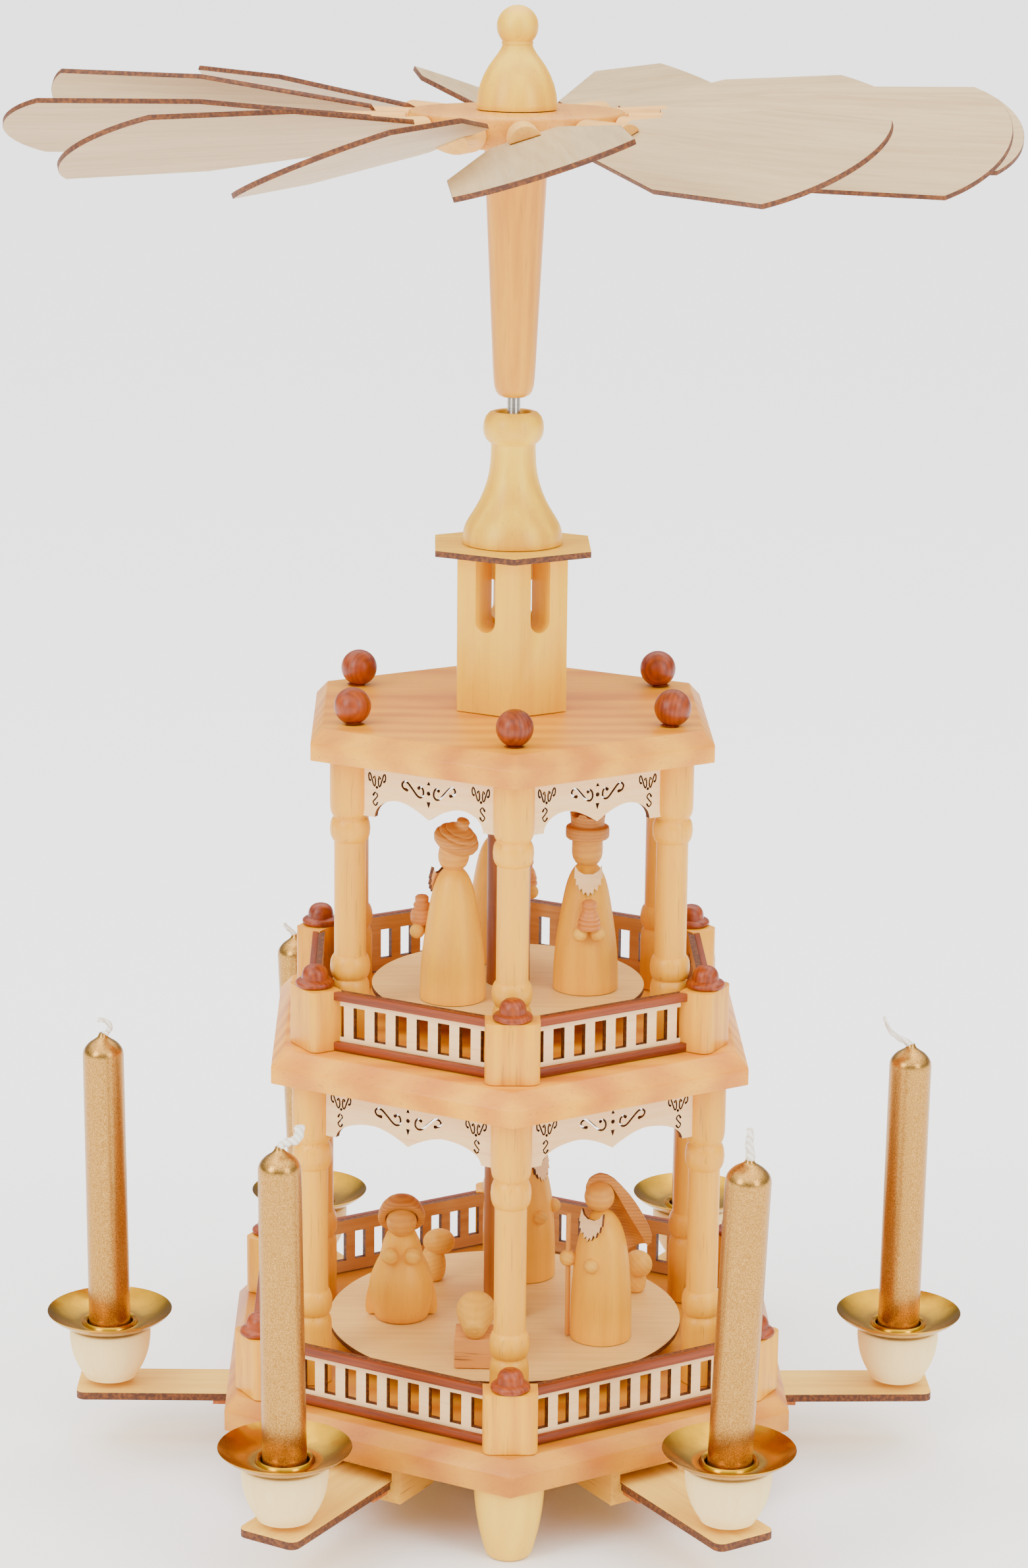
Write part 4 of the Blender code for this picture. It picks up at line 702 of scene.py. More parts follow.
# Each tier's floor height, the distances of its panels and post fronts, and its windows per panel.
TIERS = (("lower", 36.8, 79.54, 96.7, 10), ("upper", 149.3, 61.88, 76.3, 8))
for tier, floor_z, plane, front, windows in TIERS:
    node = tier + "_balustrade"
    half = plane * math.tan(math.radians(30))
    middles = [(k - (windows - 1) / 2) * WINDOW_PITCH for k in range(windows)]
    holes = [box_loop(WINDOW_WIDE, WINDOW_LOW, WINDOW_HIGH, x) for x in middles]
    outline = box_loop(2 * (half - PANEL_INSET), PANEL_LOW, PANEL_HIGH)
    panel = cut_board("panel", outline, holes, PANEL_THICK)
    two_tone(panel, panel_ply, char, ply_back_with_painted_shade)
    panel.data.transform(shift(0, -plane, floor_z))
    rails = []
    for low in RAIL_LEVELS:
        outline = box_loop(2 * (half - RAIL_INSET), low, low + RAIL_HIGH)
        rail = cut_board("rail", outline, (), RAIL_THICK)
        rail.data.materials.append(rail_stain)
        soften(rail, 0.3)
        rail.data.transform(shift(0, -plane - RAIL_THICK, floor_z))
        rails.append(rail)
    loop = [(-POST_WIDE / 2, POST_DEEP)]
    for side, start in ((-1, 180), (1, 270)):
        loop += arc(POST_ROUND, start, start + 90, 8, side * (POST_WIDE / 2 - POST_ROUND), POST_ROUND)
    loop.append((POST_WIDE / 2, POST_DEEP))
    post = cut_board("post", loop, (), POST_HIGH)
    post.data.transform(shift(0, -front, floor_z + POST_HIGH) @ spin(-90, 'X'))
    post.data.materials.append(post_wood)
    soften(post, 0.35, angle=60)
    cap = turned_piece("post_cap", CAP_OUTLINE, knob_stain, sides=40)
    for i in range(6):
        side_place, corner_place = spin(60 * i + 30), spin(60 * i)
        cap_place = corner_place @ shift(0, CAP_BACK - front, floor_z + POST_HIGH) @ spin(47 * i)
        for piece, name, place in (
            (panel, "panel", side_place), (rails[0], "foot_rail", side_place),
            (rails[1], "top_rail", side_place), (post, "post", corner_place), (cap, "post_cap", cap_place),
        ):
            settle(copy_piece(piece, f"{tier}_{name}_{i + 1}", place), "stand", node)
    discard(panel, post, cap, *rails)

# Columns: twelve turned posts carry the tiers. Each has a ball with two fine grooves near its
# foot and another near its head. They are dowelled into the plates and lacquered with them.
COLUMN_OUTLINE = (
    (0.96, 0.0), (0.97, 0.004), (0.97, 0.180), (0.95, 0.200), (0.89, 0.213), (0.82, 0.2195),
    (0.82, 0.2225), (0.90, 0.229), (0.97, 0.242), (1.0, 0.2625), (0.97, 0.283), (0.90, 0.296),
    (0.83, 0.303), (0.80, 0.3045), (0.79, 0.310), (0.79, 0.703), (0.80, 0.7085), (0.83, 0.710),
    (0.90, 0.717), (0.97, 0.730), (1.0, 0.751), (0.97, 0.772), (0.90, 0.785), (0.82, 0.792),
    (0.82, 0.795), (0.89, 0.801), (0.95, 0.811), (0.99, 0.828), (1.0, 0.850), (1.0, 0.996),
    (0.985, 1.0),
)
# Clear satin lacquer on turned lime: warm honey, with a faint grain up the column.
turned_wood = wood("lacquered_turned_lime", "F4AE0E", "D78E07", 'Z', ring_share=0.22, grain_share=0.30)
COLUMN_RADIUS = 6.35
for tier, floor_z, ring, height in (("lower", 36.8, 72.0, 101.6), ("upper", 149.3, 58.3, 91.7)):
    outline = [(r * COLUMN_RADIUS, z * height) for r, z in COLUMN_OUTLINE]
    column = turned_piece("column", outline, turned_wood, sides=48, lean=35)
    for i in range(6):
        place = spin(60 * i) @ shift(0, -ring, floor_z) @ spin(61 * i)
        settle(copy_piece(column, f"{tier}_column_{i + 1}", place), "stand", tier + "_arcade")
    discard(column)

# Friezes: scalloped boards of 2 mm ply between the heads of the columns. Lively S-scrolls, dots
# and a small wedge are pierced through them by laser, and all the cut edges are burnt dark.
S_SCROLL = (
    (0.24, 0.60), (0.08, 0.52), (0.02, 0.24), (0.12, 0.04), (0.28, 0.10), (0.50, 0.50), (0.72, 0.92),
    (0.88, 1.0), (0.99, 0.80), (0.98, 0.45), (0.88, 0.25), (0.78, 0.36),
)
SMALL_S = ((0.9, 0.22), (0.55, 0.0), (0.1, 0.22), (0.5, 0.5), (0.95, 0.76), (0.5, 1.0), (0.1, 0.80))
# A scroll's round end has three points, this far apart in radians.
SCROLL_END = 0.9


def stroke(points, thin, ball):
    """Outline of a scroll along its centre line: a thin band that swells to a round end both ways."""
    line = flowing(points, 5)
    left, right = [], []
    for k, (x, y) in enumerate(line):
        before, after = line[max(k - 1, 0)], line[min(k + 1, len(line) - 1)]
        along = math.atan2(after[1] - before[1], after[0] - before[0])
        half = thin + (ball - thin) * max(0, 1 - min(k, len(line) - 1 - k) / 4)
        left.append((x - half * math.sin(along), y + half * math.cos(along)))
        right.append((x + half * math.sin(along), y - half * math.cos(along)))
        if k == 0:
            first = along
    tip = arc(ball, math.degrees(along + SCROLL_END), math.degrees(along - SCROLL_END), 2, *line[-1])
    tail = arc(-ball, math.degrees(first + SCROLL_END), math.degrees(first - SCROLL_END), 2, *line[0])
    return left + tip + right[::-1] + tail


def disc(x, y, radius, steps=10):
    """Points of a round hole."""
    return arc(radius, 0, 360, steps, x, y)[:-1]


# The lower edge hangs furthest beside the columns, rises in two arches and dips to a middle point.
SIDE_DROP, ARCH_DROP, POINT_DROP, FRIEZE_THICK = 17.7, 11.6, 4.7, 2.0
FRIEZES = (
    ("lower", 72.0, 12.5, 138.4, (2.6, 12.0, 5.3, 9.8), (20.7, 24.3, 28.0), 24.6),
    ("upper", 58.3, 11.0, 241.0, (1.8, 9.6, 4.8, 9.3), (15.3, 18.5, 21.5), 19.0),
)
for tier, ring, crown, top_z, (near, far, high, low), corner_x, small_x in FRIEZES:
    half = ring / 2 - COLUMN_RADIUS
    edge = [(half + 3.0, 0), (half + 3.0, -SIDE_DROP)]
    for across, rise in arc(1.0, 0, 90, 16):
        edge.append((crown + (half - 3.5 - crown) * across, (SIDE_DROP - ARCH_DROP) * rise - SIDE_DROP))
    for k in range(1, 13):
        edge.append((crown * (1 - k / 12), -ARCH_DROP - POINT_DROP * (k / 12) ** 1.6))
    outline = edge + [(-x, y) for x, y in reversed(edge[:-1])]
    holes = [
        disc(0, -7.7, 0.72), ((-0.75, -10.4), (0.75, -10.4), (0.1, -12.3), (-0.1, -12.3)),
        ((-0.2, -4.1), (0.2, -4.1), (0.65, -5.1), (-0.65, -5.1)),
    ]
    for side in (-1, 1):
        scroll = [(side * (far - u * (far - near)), -high - v * (low - high)) for u, v in S_SCROLL]
        holes.append(stroke(scroll, 0.34, 0.58))
        for end in (corner_x[2], corner_x[0]):
            reach = corner_x[1] - end
            reach -= math.copysign(0.5, reach)
            corner = [(side * (end + u * reach), -3.6 - v * 4.1) for u, v in S_SCROLL]
            holes.append(stroke(corner, 0.26, 0.42))
        holes.append(disc(side * corner_x[1], -8.1, 0.5, 8))
        small = [(small_x * side + (u - 0.5) * 1.9 * side, -9.7 - v * 4.2) for u, v in SMALL_S]
        holes.append(stroke(small, 0.24, 0.38))
    frieze = cut_board("frieze", outline, holes, FRIEZE_THICK)
    # The frieze backs take the browner back ply, whose extra darkness is painted shade.
    two_tone(frieze, panel_ply, char, ply_back_with_painted_shade)
    frieze.data.transform(shift(0, -(ring * math.cos(math.radians(30)) + 1.6), top_z))
    for i in range(6):
        place = spin(60 * i + 30)
        settle(copy_piece(frieze, f"{tier}_frieze_{i + 1}", place), "stand", tier + "_arcade")
    discard(frieze)

# Finials: six stained turned balls, each with a small flat foot, sit in shallow dents on the
# corners of the top board. Their red-brown grain lies in all directions.
FINIAL_REACH, FINIAL_FOOT, FINIAL_RADIUS = 56.9, 251.25, 5.8
ball_outline = [(3.3, 0.0)] + arc(FINIAL_RADIUS, -90, 90, 25, 0, 5.75)[3:25] + [(0.6, 11.5), (0.02, 11.55)]
finial = turned_piece("finial", ball_outline, knob_stain, sides=40)
for i in range(6):
    place = spin(60 * i) @ shift(0, -FINIAL_REACH, FINIAL_FOOT) @ spin(53 * i) @ spin(6 * (i % 3), 'X')
    settle(copy_piece(finial, f"finial_{i + 1}", place), "stand", "top_plate")
discard(finial)

# Axle: a brass bearing cup in the base, a ground steel rod, and a stained dowel that carries
# the two turntables. Only short stretches of it show between the figures and under the rotor.
BEARING_OUTLINE = (
    (6.8, 0.0), (7.0, 0.3), (7.0, 4.2), (6.75, 4.5), (5.7, 4.5), (5.4, 4.2), (5.4, 1.9), (5.0, 1.5),
    (0.02, 1.5),
)
bearing = turned_piece("bearing", BEARING_OUTLINE, brass, sides=48, place=shift(0, 0, 32.0))
settle(bearing, "stand", "bearing_cup")
# Ground steel: bright grey, with fine marks round the rod that blur its reflections.
rod_steel, shader = new_material("ground_steel_rod", 0.28, metallic=1.0)
coordinates = add_node(rod_steel, 'ShaderNodeTexCoord', {}, out="Object")
flat = add_node(rod_steel, 'ShaderNodeMapping', {"Vector": coordinates, "Scale": (1, 1, 14)})
marks = add_node(rod_steel, 'ShaderNodeTexNoise', {"Vector": flat, "Scale": 260.0, "Detail": 3.0})
colour = add_node(
    rod_steel, 'ShaderNodeMix', {"Factor": marks, 6: linear("D8D2C6"), 7: linear("8E877C")},
    out=2, data_type='RGBA',
)
rod_steel.node_tree.links.new(colour, shader.inputs["Base Color"])
ROD_OUTLINE = ((0.02, 34.0), (0.3, 34.1), (2.0, 37.2), (2.0, 453.6), (1.8, 453.95), (0.02, 454.0))
rod = turned_piece("rod", ROD_OUTLINE, rod_steel, sides=32)
settle(rod, "rotor", "spindle")
# Oiled and stained: red-brown, with a satin gleam and a strong grain along it.
dowel_wood = wood("oiled_dowel", "B56920", "7E3E0E", 'Z', ring_share=0.3, grain_share=0.5, roughness=0.5,
                  coat=0.15)
DOWEL_OUTLINE = ((6.6, 39.0), (7.0, 39.5), (7.0, 234.8), (6.6, 235.3))
dowel = turned_piece("dowel", DOWEL_OUTLINE, dowel_wood, sides=48)
settle(dowel, "rotor", "axle_dowel")

# Turntables: two thin discs of birch ply that turn with the dowel and carry the figures. They are
# sanded smooth on top, a warm cream with soft figure, and burnt brown along their cut rims.
disc_ply = ply("pale_ply_turntable", "F1C66C", "D29A4A", 'X', roughness=0.5, grain_share=0.38)
for name, radius, bottom, node in (
    ("lower_disc", 58.0, 43.0, "lower_turntable"), ("upper_disc", 44.0, 157.5, "upper_turntable"),
):
    rim = ((radius - 0.15, 0), (radius, 0.2), (radius, 1.8), (radius - 0.2, 2.0))
    table = turned_piece(name, rim, disc_ply, sides=96)
    table.data.materials.append(char)
    for polygon in table.data.polygons:
        if abs(polygon.normal.z) < 0.6:
            polygon.material_index = 1
    table.data.transform(shift(0, 0, bottom))
    settle(table, "rotor", node)

# Tower: a hexagonal block with a round-ended slot through each side, under a thin ply cover with
# burnt edges. On the cover stands a turned neck like a handbell, bored for the rod.
# Lacquered beech, a light straw yellow with a few broad rings.
tower_wood = wood("lacquered_tower_beech", "FCC609", "E8A303", 'Z', ring_gap=8.0, ring_share=0.25,
                  grain_share=0.3, heart=(0.02, 0.09, 0.0), flecks=0.15)
TOWER_RADIUS, TOWER_HIGH, TOWER_FOOT, SLOT_LENGTH = 19.9, 49.7, 251.5, 60.0
bpy.ops.object.select_all(action='DESELECT')
bpy.ops.mesh.primitive_cylinder_add(
    vertices=6, radius=TOWER_RADIUS * MM, depth=TOWER_HIGH * MM,
    location=(0, 0, (TOWER_FOOT + TOWER_HIGH / 2) * MM),
)
tower = bpy.context.object
tower.name = "tower_block"
bpy.ops.object.transform_apply(location=True, rotation=True, scale=True)
tower.data.materials.append(tower_wood)
slot_loop = [(3.5, 51.0)] + arc(3.5, 0, -180, 15, 0, 29.6) + [(-3.5, 51.0)]
for k in range(3):
    slot = cut_board("slot", slot_loop, (), SLOT_LENGTH)
    slot.data.transform(spin(30 + 60 * k) @ shift(0, -SLOT_LENGTH / 2, TOWER_FOOT))
    cut_out(tower, slot)
WELL_OUTLINE = ((4.0, 250.0), (4.0, 276.6), (7.6, 276.6), (7.6, 302.0))
cut_out(tower, turned_piece("well", WELL_OUTLINE, tower_wood, sides=48))
soften(tower, 0.3, angle=50)
settle(tower, "stand", "tower")
# Bare ply is matt and shows more of its yellow.
cover_ply = ply("bare_ply_cover", "FFD334", "EBAB21", 'X')
cover = cut_board("cover", arc(28.1, 30, 330, 5), [disc(0, 0, 2.6, 32)], 1.9)
two_tone(cover, cover_ply, char)
cover.data.transform(shift(0, 0, 303.4) @ spin(-90, 'X'))
settle(cover, "stand", "tower_cover")
PLUG_OUTLINE = ((7.3, 292.5), (7.3, 301.45), (2.5, 301.45), (2.5, 292.5))
plug = turned_piece("cover_plug", PLUG_OUTLINE, tower_wood, sides=48)
settle(plug, "stand", "tower_cover")
# Lacquered beech with its rings well apart, so that curved bands show on the bell.
neck_wood = wood("lacquered_neck_beech", "FBCC23", "DD9A0F", 'Z', ring_gap=6.0, ring_share=0.4,
                 grain_share=0.25, heart=(0.0, 0.03, 0.0), flecks=0.15)
NECK_OUTLINE = (
    (15.6, 0.0), (15.8, 0.4), (15.75, 1.6), (15.6, 3.0), (15.3, 4.6), (14.7, 6.2), (13.4, 8.4),
    (11.9, 10.8), (10.5, 13.4), (9.3, 16.2), (8.3, 19.2), (7.6, 22.2), (7.2, 25.4), (7.05, 28.6),
    (7.0, 31.2), (7.05, 31.5), (7.5, 31.75), (8.6, 32.8), (9.3, 34.4), (9.55, 36.2), (9.35, 38.2),
    (8.7, 40.0), (7.6, 41.2), (6.4, 41.6), (5.7, 41.3), (5.5, 40.6), (5.5, 24.0), (2.6, 24.0),
)
neck = turned_piece("neck", NECK_OUTLINE, neck_wood, sides=64, lean=30, place=shift(0, 0, 303.7))
settle(neck, "stand", "bell_neck")

# Rotor sleeve: a long taper of beech, round at its lower end, pressed on the rod. It carries the
# hub and turns with it. Its lacquer is honey brown over a close, lively grain.
sleeve_wood = wood("lacquered_sleeve_beech", "EAA40B", "CE8103", 'Z', ring_gap=4.0, ring_share=0.35,
                   grain_share=0.45, heart=(0.012, 0.02, 0.0), flecks=0.2)
SLEEVE_OUTLINE = (
    (2.2, 0.0), (3.6, 0.15), (4.9, 0.8), (5.7, 1.9), (6.2, 3.6), (6.45, 6.0), (6.7, 10.0), (9.85, 75.6),
    (10.0, 77.5), (10.0, 78.5),
)
sleeve = turned_piece("sleeve", SLEEVE_OUTLINE, sleeve_wood, sides=56, place=shift(0, 0, 349.7))
settle(sleeve, "rotor", "rotor_sleeve")

# Hub and acorn: a thick beech disc with twelve holes for the pegs, and a turned acorn with a ball
# on top. The disc's lacquer has yellowed more, and its end grain is full of dark flecks.
hub_wood = wood("lacquered_hub_beech", "E69F21", "C57B11", 'Y', ring_gap=9.0, heart=(0.0, 0.03, -0.42),
                flecks=0.45)
HUB_OUTLINE = (
    (0.02, 0.0), (32.3, 0.0), (33.1, 0.35), (33.5, 1.2), (33.5, 8.5), (33.1, 9.35), (32.3, 9.7),
    (0.02, 9.7),
)
hub = turned_piece("hub_disc", HUB_OUTLINE, hub_wood, sides=96, lean=50, place=shift(0, 0, 428.5))
settle(hub, "rotor", "hub")
ACORN_OUTLINE = (
    (12.2, 0.0), (12.45, 0.5), (12.45, 1.8), (12.1, 4.6), (11.4, 7.4), (10.3, 10.2), (8.9, 12.8),
    (7.5, 14.8), (6.1, 16.6), (5.1, 18.2), (4.65, 19.3), (4.9, 20.0),
)
acorn_ball = arc(6.4, -44, 89, 19, 0, 25.0) + [(0.02, 31.4)]
acorn = turned_piece(
    "acorn", list(ACORN_OUTLINE) + acorn_ball, neck_wood, sides=56, place=shift(0, 0, 438.5),
)
settle(acorn, "rotor", "hub_cap")

# Blades: twelve paddles of thin birch ply, each glued to the flat of a turned peg that is cut on
# the slant and can be twisted in its hole, so that no two stand alike. Their edges are burnt.
# Sanded ply, greyer than the rest of the wood, matt, with a long figure. The pegs are yellower.
blade_ply = ply("sanded_ply_blade", "C3A777", "AF8D5C", 'X', roughness=0.5, grain_share=0.7)
peg_wood = wood("peg_beech", "EEB655", "D38F34", 'X', ring_share=0.15, grain_share=0.3, roughness=0.55)
PITCHES = (18, 24, 29, 25, 22, 24, 19, 24, 32, 21, 23, 22)
SWINGS = (-2.1, 1.6, 1.1, -1.9, -1.2, -3.6, -0.8, 1.5, 3.7, -1.3, 1.0, 2.0)
BLADE_THICK, TIP_REACH, TIP_HALF, TIP_BULGE = 1.6, 156.75, 26.0, 11.65
PEG_REACH, PEG_LEVEL, FIRST_PEG = 33.8, 432.8, -86.2
tip_radius = (TIP_BULGE ** 2 + TIP_HALF ** 2) / (2 * TIP_BULGE)
spread = math.degrees(math.asin(TIP_HALF / tip_radius))
blade_loop = [(44.9, -10.6), (96.8, -25.8)] + arc(tip_radius, -spread, spread, 32, TIP_REACH - tip_radius)
blade_loop += [(96.8, 25.8), (44.9, 10.6)]
blade = cut_board("blade", blade_loop, (), BLADE_THICK)
two_tone(blade, blade_ply, char)
soften(blade, 0.12, 1, 60)
blade.data.transform(shift(-PEG_REACH, 0, BLADE_THICK / 2) @ spin(-90, 'X'))
PEG_OUTLINE = ((4.0, 0.0), (4.7, 0.5), (4.9, 1.4), (4.9, 22.0), (0.02, 22.0))
peg = turned_piece("peg", PEG_OUTLINE, peg_wood, sides=40, place=spin(90, 'Y'))
slant = cut_board("slant", ((10.5, -6.0), (24.0, 1.2), (24.0, -9.0), (10.5, -9.0)), (), 20.0)
slant.data.transform(shift(0, -10, 1.1))
cut_out(peg, slant)
lap = cut_board("lap", box_loop(19.1, -0.85, 0.85, 20.45), (), 24.0)
lap.data.transform(shift(0, -12, 0))
cut_out(peg, lap)
soften(peg, 0.2, 1, 50)
tenon = turned_piece(
    "tenon", ((2.1, -9.3), (2.4, -8.9), (2.4, 0.4)), peg_wood, sides=24, place=spin(90, 'Y'),
)
for i, (pitch, swing) in enumerate(zip(PITCHES, SWINGS)):
    place = spin(FIRST_PEG + 30 * i + swing) @ shift(PEG_REACH, 0, PEG_LEVEL) @ spin(pitch, 'X')
    for piece, name in ((blade, "blade_board"), (peg, "blade_peg"), (tenon, "blade_tenon")):
        made = copy_piece(piece, f"{name}_{i + 1}", place)
        settle(made, f"blade_body_{i + 1}", f"blade_{i + 1}")
discard(blade, peg, tenon)

# Figures: small turned people and animals of lime wood, plain and faceless as on old carousels,
# glued together from body, head, hat and ball hands. They stand on the two turntables.
# Waxed lime with a soft gleam on the coats; bare and duller on heads, hands, hats and vessels,
# where the rings run across the small turned forms as fine circles.
body_wood = wood("waxed_lime_body", "FFBE12", "E49908", 'Z', ring_gap=6.0, ring_share=0.2,
                 grain_share=0.3, roughness=0.5, coat=0.12, heart=(0.02, 0.03, 0.0), flecks=0.1)
head_wood = wood("waxed_lime_head", "EAA634", "CC8123", 'X', ring_gap=2.2, ring_share=0.3,
                 roughness=0.55, coat=0.08, heart=(0.0, 0.01, 0.0), flecks=0.1)
hand_wood = wood("bare_lime_hand", "F4BB3A", "DA9826", 'Y', ring_gap=1.5, ring_share=0.25,
                 grain_share=0.3, roughness=0.58, coat=0.05, heart=(0.01, 0.0, 0.0), flecks=0.08)
hat_wood = wood("turned_hat_lime", "DB9839", "B4691E", 'X', ring_gap=1.1, ring_share=0.4,
                grain_share=0.4, roughness=0.55, coat=0.05, heart=(0.0, 0.0, -0.01), flecks=0.15)
vessel_wood = wood("pinkish_pear_vessel", "E6983F", "C3712B", 'X', ring_gap=1.3, ring_share=0.4,
                   grain_share=0.3, roughness=0.5, coat=0.1, heart=(0.0, 0.0, 0.0), flecks=0.1)
LOWER_FLOOR, UPPER_FLOOR = 45.3, 159.8
ROBE_OUTLINE = (
    (0.985, 0.0), (1.0, 0.012), (0.995, 0.12), (0.97, 0.24), (0.93, 0.36), (0.865, 0.48), (0.79, 0.60),
    (0.715, 0.71), (0.63, 0.81), (0.53, 0.885), (0.41, 0.94), (0.25, 0.98), (0.08, 1.0),
)
COAT_OUTLINE = (
    (0.985, 0.0), (1.0, 0.012), (0.998, 0.12), (0.99, 0.24), (0.97, 0.36), (0.935, 0.48), (0.89, 0.60),
    (0.82, 0.71), (0.72, 0.81), (0.60, 0.885), (0.46, 0.94), (0.28, 0.98), (0.08, 1.0),
)


def turned_body(name, radius, height, material, shares):
    """A peg figure's turned body: a tall rounded cone."""
    outline = flowing([(r * radius, z * height) for r, z in shares], 2)
    return turned_piece(name, outline + [(0.02, height)], material, sides=48)


def turned_ball(name, radius, material, stretch=1.0, sides=32):
    """A turned ball round the origin, its grain poles closed."""
    skin = [(r, z * stretch) for r, z in arc(radius, -80, 80, 16)]
    outline = [(0.04, -radius * stretch)] + skin + [(0.04, radius * stretch)]
    return turned_piece(name, outline, material, sides=sides)


def stand_figure(node, place, *pieces):
    """Set a figure's glued pieces on their turntable."""
    for piece in pieces:
        piece.data.transform(place)
        settle(piece, "rotor", node)


CROWN_OUTLINE = (
    (4.7, 0.0), (6.5, 0.0), (6.9, 0.4), (7.0, 1.2), (7.0, 3.0), (6.8, 3.7), (6.3, 4.0), (5.5, 4.1),
    (5.35, 4.4), (5.45, 6.0), (5.75, 8.6), (4.6, 8.6), (4.4, 5.0), (0.02, 4.9),
)
TURBAN_OUTLINE = (
    (4.4, 0.0), (5.9, 0.0), (6.9, 0.9), (7.4, 2.2), (7.25, 3.4), (6.7, 4.15), (6.3, 4.3), (6.35, 4.7),
    (6.1, 5.2), (5.3, 5.75), (4.7, 5.85), (4.7, 6.2), (4.2, 6.7), (3.2, 7.1), (2.5, 7.4), (2.15, 7.9),
    (2.05, 8.7), (2.15, 9.4), (1.7, 10.0), (0.8, 10.3), (0.02, 10.35),
)
HEAD_OUTLINE = (
    (0.04, -5.0), (1.4, -4.85), (2.7, -4.25), (3.8, -3.3), (4.55, -2.05), (4.9, -0.6), (4.95, 1.0),
    (4.9, 3.0), (4.8, 5.0), (0.02, 5.0),
)
VESSEL_OUTLINE = (
    (2.9, 0.0), (3.6, 0.15), (3.75, 0.8), (3.55, 1.35), (3.3, 1.5), (3.5, 1.9), (3.6, 2.6), (3.4, 3.2),
    (3.1, 3.35), (3.2, 3.8), (3.0, 4.6), (2.6, 5.4), (2.2, 6.1), (2.0, 6.6), (2.15, 7.1), (2.4, 7.7),
    (2.4, 8.5), (2.0, 9.2), (1.2, 9.65), (0.02, 9.75),
)
JAR_OUTLINE = (
    (2.6, 0.0), (3.1, 0.3), (3.6, 1.3), (3.75, 2.7), (3.5, 4.1), (2.9, 5.1), (2.5, 5.4), (2.6, 5.8),
    (2.75, 6.4), (2.5, 7.0), (2.1, 7.3), (2.2, 7.9), (2.2, 8.9), (1.7, 9.5), (0.9, 9.75), (0.02, 9.8),
)
hand = turned_ball("hand", 2.4, hand_wood)
# The beard is a small crescent of ply with a fringed lower edge, hung under the chin.
BEARD = (
    (4.3, 0.4), (3.2, -1.4), (1.4, -2.4), (-1.4, -2.4), (-3.2, -1.4), (-4.3, 0.4), (-4.6, -3.6),
    (-4.0, -3.9), (-4.1, -5.9), (-3.4, -5.7), (-3.0, -7.6), (-2.2, -6.9), (-1.7, -8.9), (-0.9, -8.0),
    (-0.2, -9.6), (0.5, -8.1), (1.3, -9.0), (1.8, -7.0), (2.8, -7.7), (3.2, -5.7), (4.0, -5.9),
    (4.0, -3.9), (4.6, -3.6),
)
beard = cut_board("beard", BEARD, (), 1.1)
two_tone(beard, panel_ply, char)
beard.data.transform(spin(-13, 'X'))
KINGS = (
    ("king_1", -17.996, -18.084, -120, 43.5, TURBAN_OUTLINE, 6.0, -22, JAR_OUTLINE),
    ("king_2", 24.816, -6.292, 2, 42.0, CROWN_OUTLINE, 7.6, 0, VESSEL_OUTLINE),
    ("king_3", -2.904, 27.984, 125, 42.0, CROWN_OUTLINE, 7.6, 0, VESSEL_OUTLINE),
)
for node, x, y, turn, height, hat_outline, rise, lean, gift_outline in KINGS:
    place = shift(x, y, UPPER_FLOOR) @ spin(turn)
    body = turned_body(node + "_body", 10.5, height, body_wood, ROBE_OUTLINE)
    head = turned_piece(
        node + "_head", HEAD_OUTLINE, head_wood, sides=40,
        place=shift(0, 0, height + 2.9) @ spin(lean / 2, 'X'),
    )
    hat = turned_piece(node + "_hat", hat_outline, hat_wood, sides=44, lean=35)
    if node != "king_1":
        for k in range(3):
            bite = turned_piece(
                "bite", ((2.1, -12.0), (2.1, 12.0)), hat_wood, sides=28,
                place=spin(60 * k + 8) @ shift(0, 0, 9.4) @ spin(90, 'X'),
            )
            cut_out(hat, bite)
        bpy.ops.object.shade_smooth_by_angle(angle=math.radians(35))
    hat.data.transform(shift(0, 0, height + rise) @ spin(lean, 'X'))
    gift = turned_piece(
        node + "_gift", gift_outline, vessel_wood, sides=32, lean=35, place=shift(0, -11.5, 22.4),
    )
    fringe = copy_piece(beard, node + "_beard", shift(0, -5.7, height - 0.6))
    pieces = [body, head, hat, gift, fringe]
    for side in (-1, 1):
        name = f"{node}_hand_{'left' if side < 0 else 'right'}"
        pieces.append(copy_piece(hand, name, shift(2.9 * side, -11.5, 20.8) @ spin(40 * side)))
    stand_figure(node, place, *pieces)

# Kneeling woman: a full skirt, a short upper body, and a half cloak behind her that shows beside
# the skirt as two narrow wings. Her hood is a hollow turned bowl, darker, set back on her head.
woman_place = shift(-34.104, -2.494, LOWER_FLOOR)
WOMAN_OUTLINE = (
    (8.2, 0.0), (8.7, 0.3), (9.5, 2.6), (10.2, 5.6), (10.6, 8.8), (10.5, 12.2), (9.9, 14.6),
    (9.0, 17.0), (8.0, 19.2), (7.2, 20.6), (6.85, 21.6), (6.6, 23.0), (6.1, 25.2), (5.5, 27.2),
    (4.7, 29.0), (3.2, 30.2), (0.02, 30.6),
)
CLOAK_OUTLINE = (
    (9.7, 0.3), (11.0, 0.3), (11.6, 1.0), (11.9, 2.6), (11.8, 5.0), (11.4, 7.5), (10.8, 10.0),
    (10.0, 13.0), (9.0, 16.0), (8.0, 18.8), (7.1, 21.0), (6.5, 24.0), (5.9, 26.5), (4.4, 26.5),
)
HOOD_OUTLINE = (
    (0.04, 4.6), (2.6, 4.1), (4.3, 2.7), (5.1, 0.4), (5.4, -0.6), (7.1, -0.9), (7.7, -0.4), (7.8, 0.4),
    (7.5, 2.2), (6.7, 4.2), (5.4, 5.9), (3.6, 7.2), (1.8, 7.9), (0.04, 8.1),
)
skirt = turned_piece("woman_body", WOMAN_OUTLINE, body_wood, sides=56)
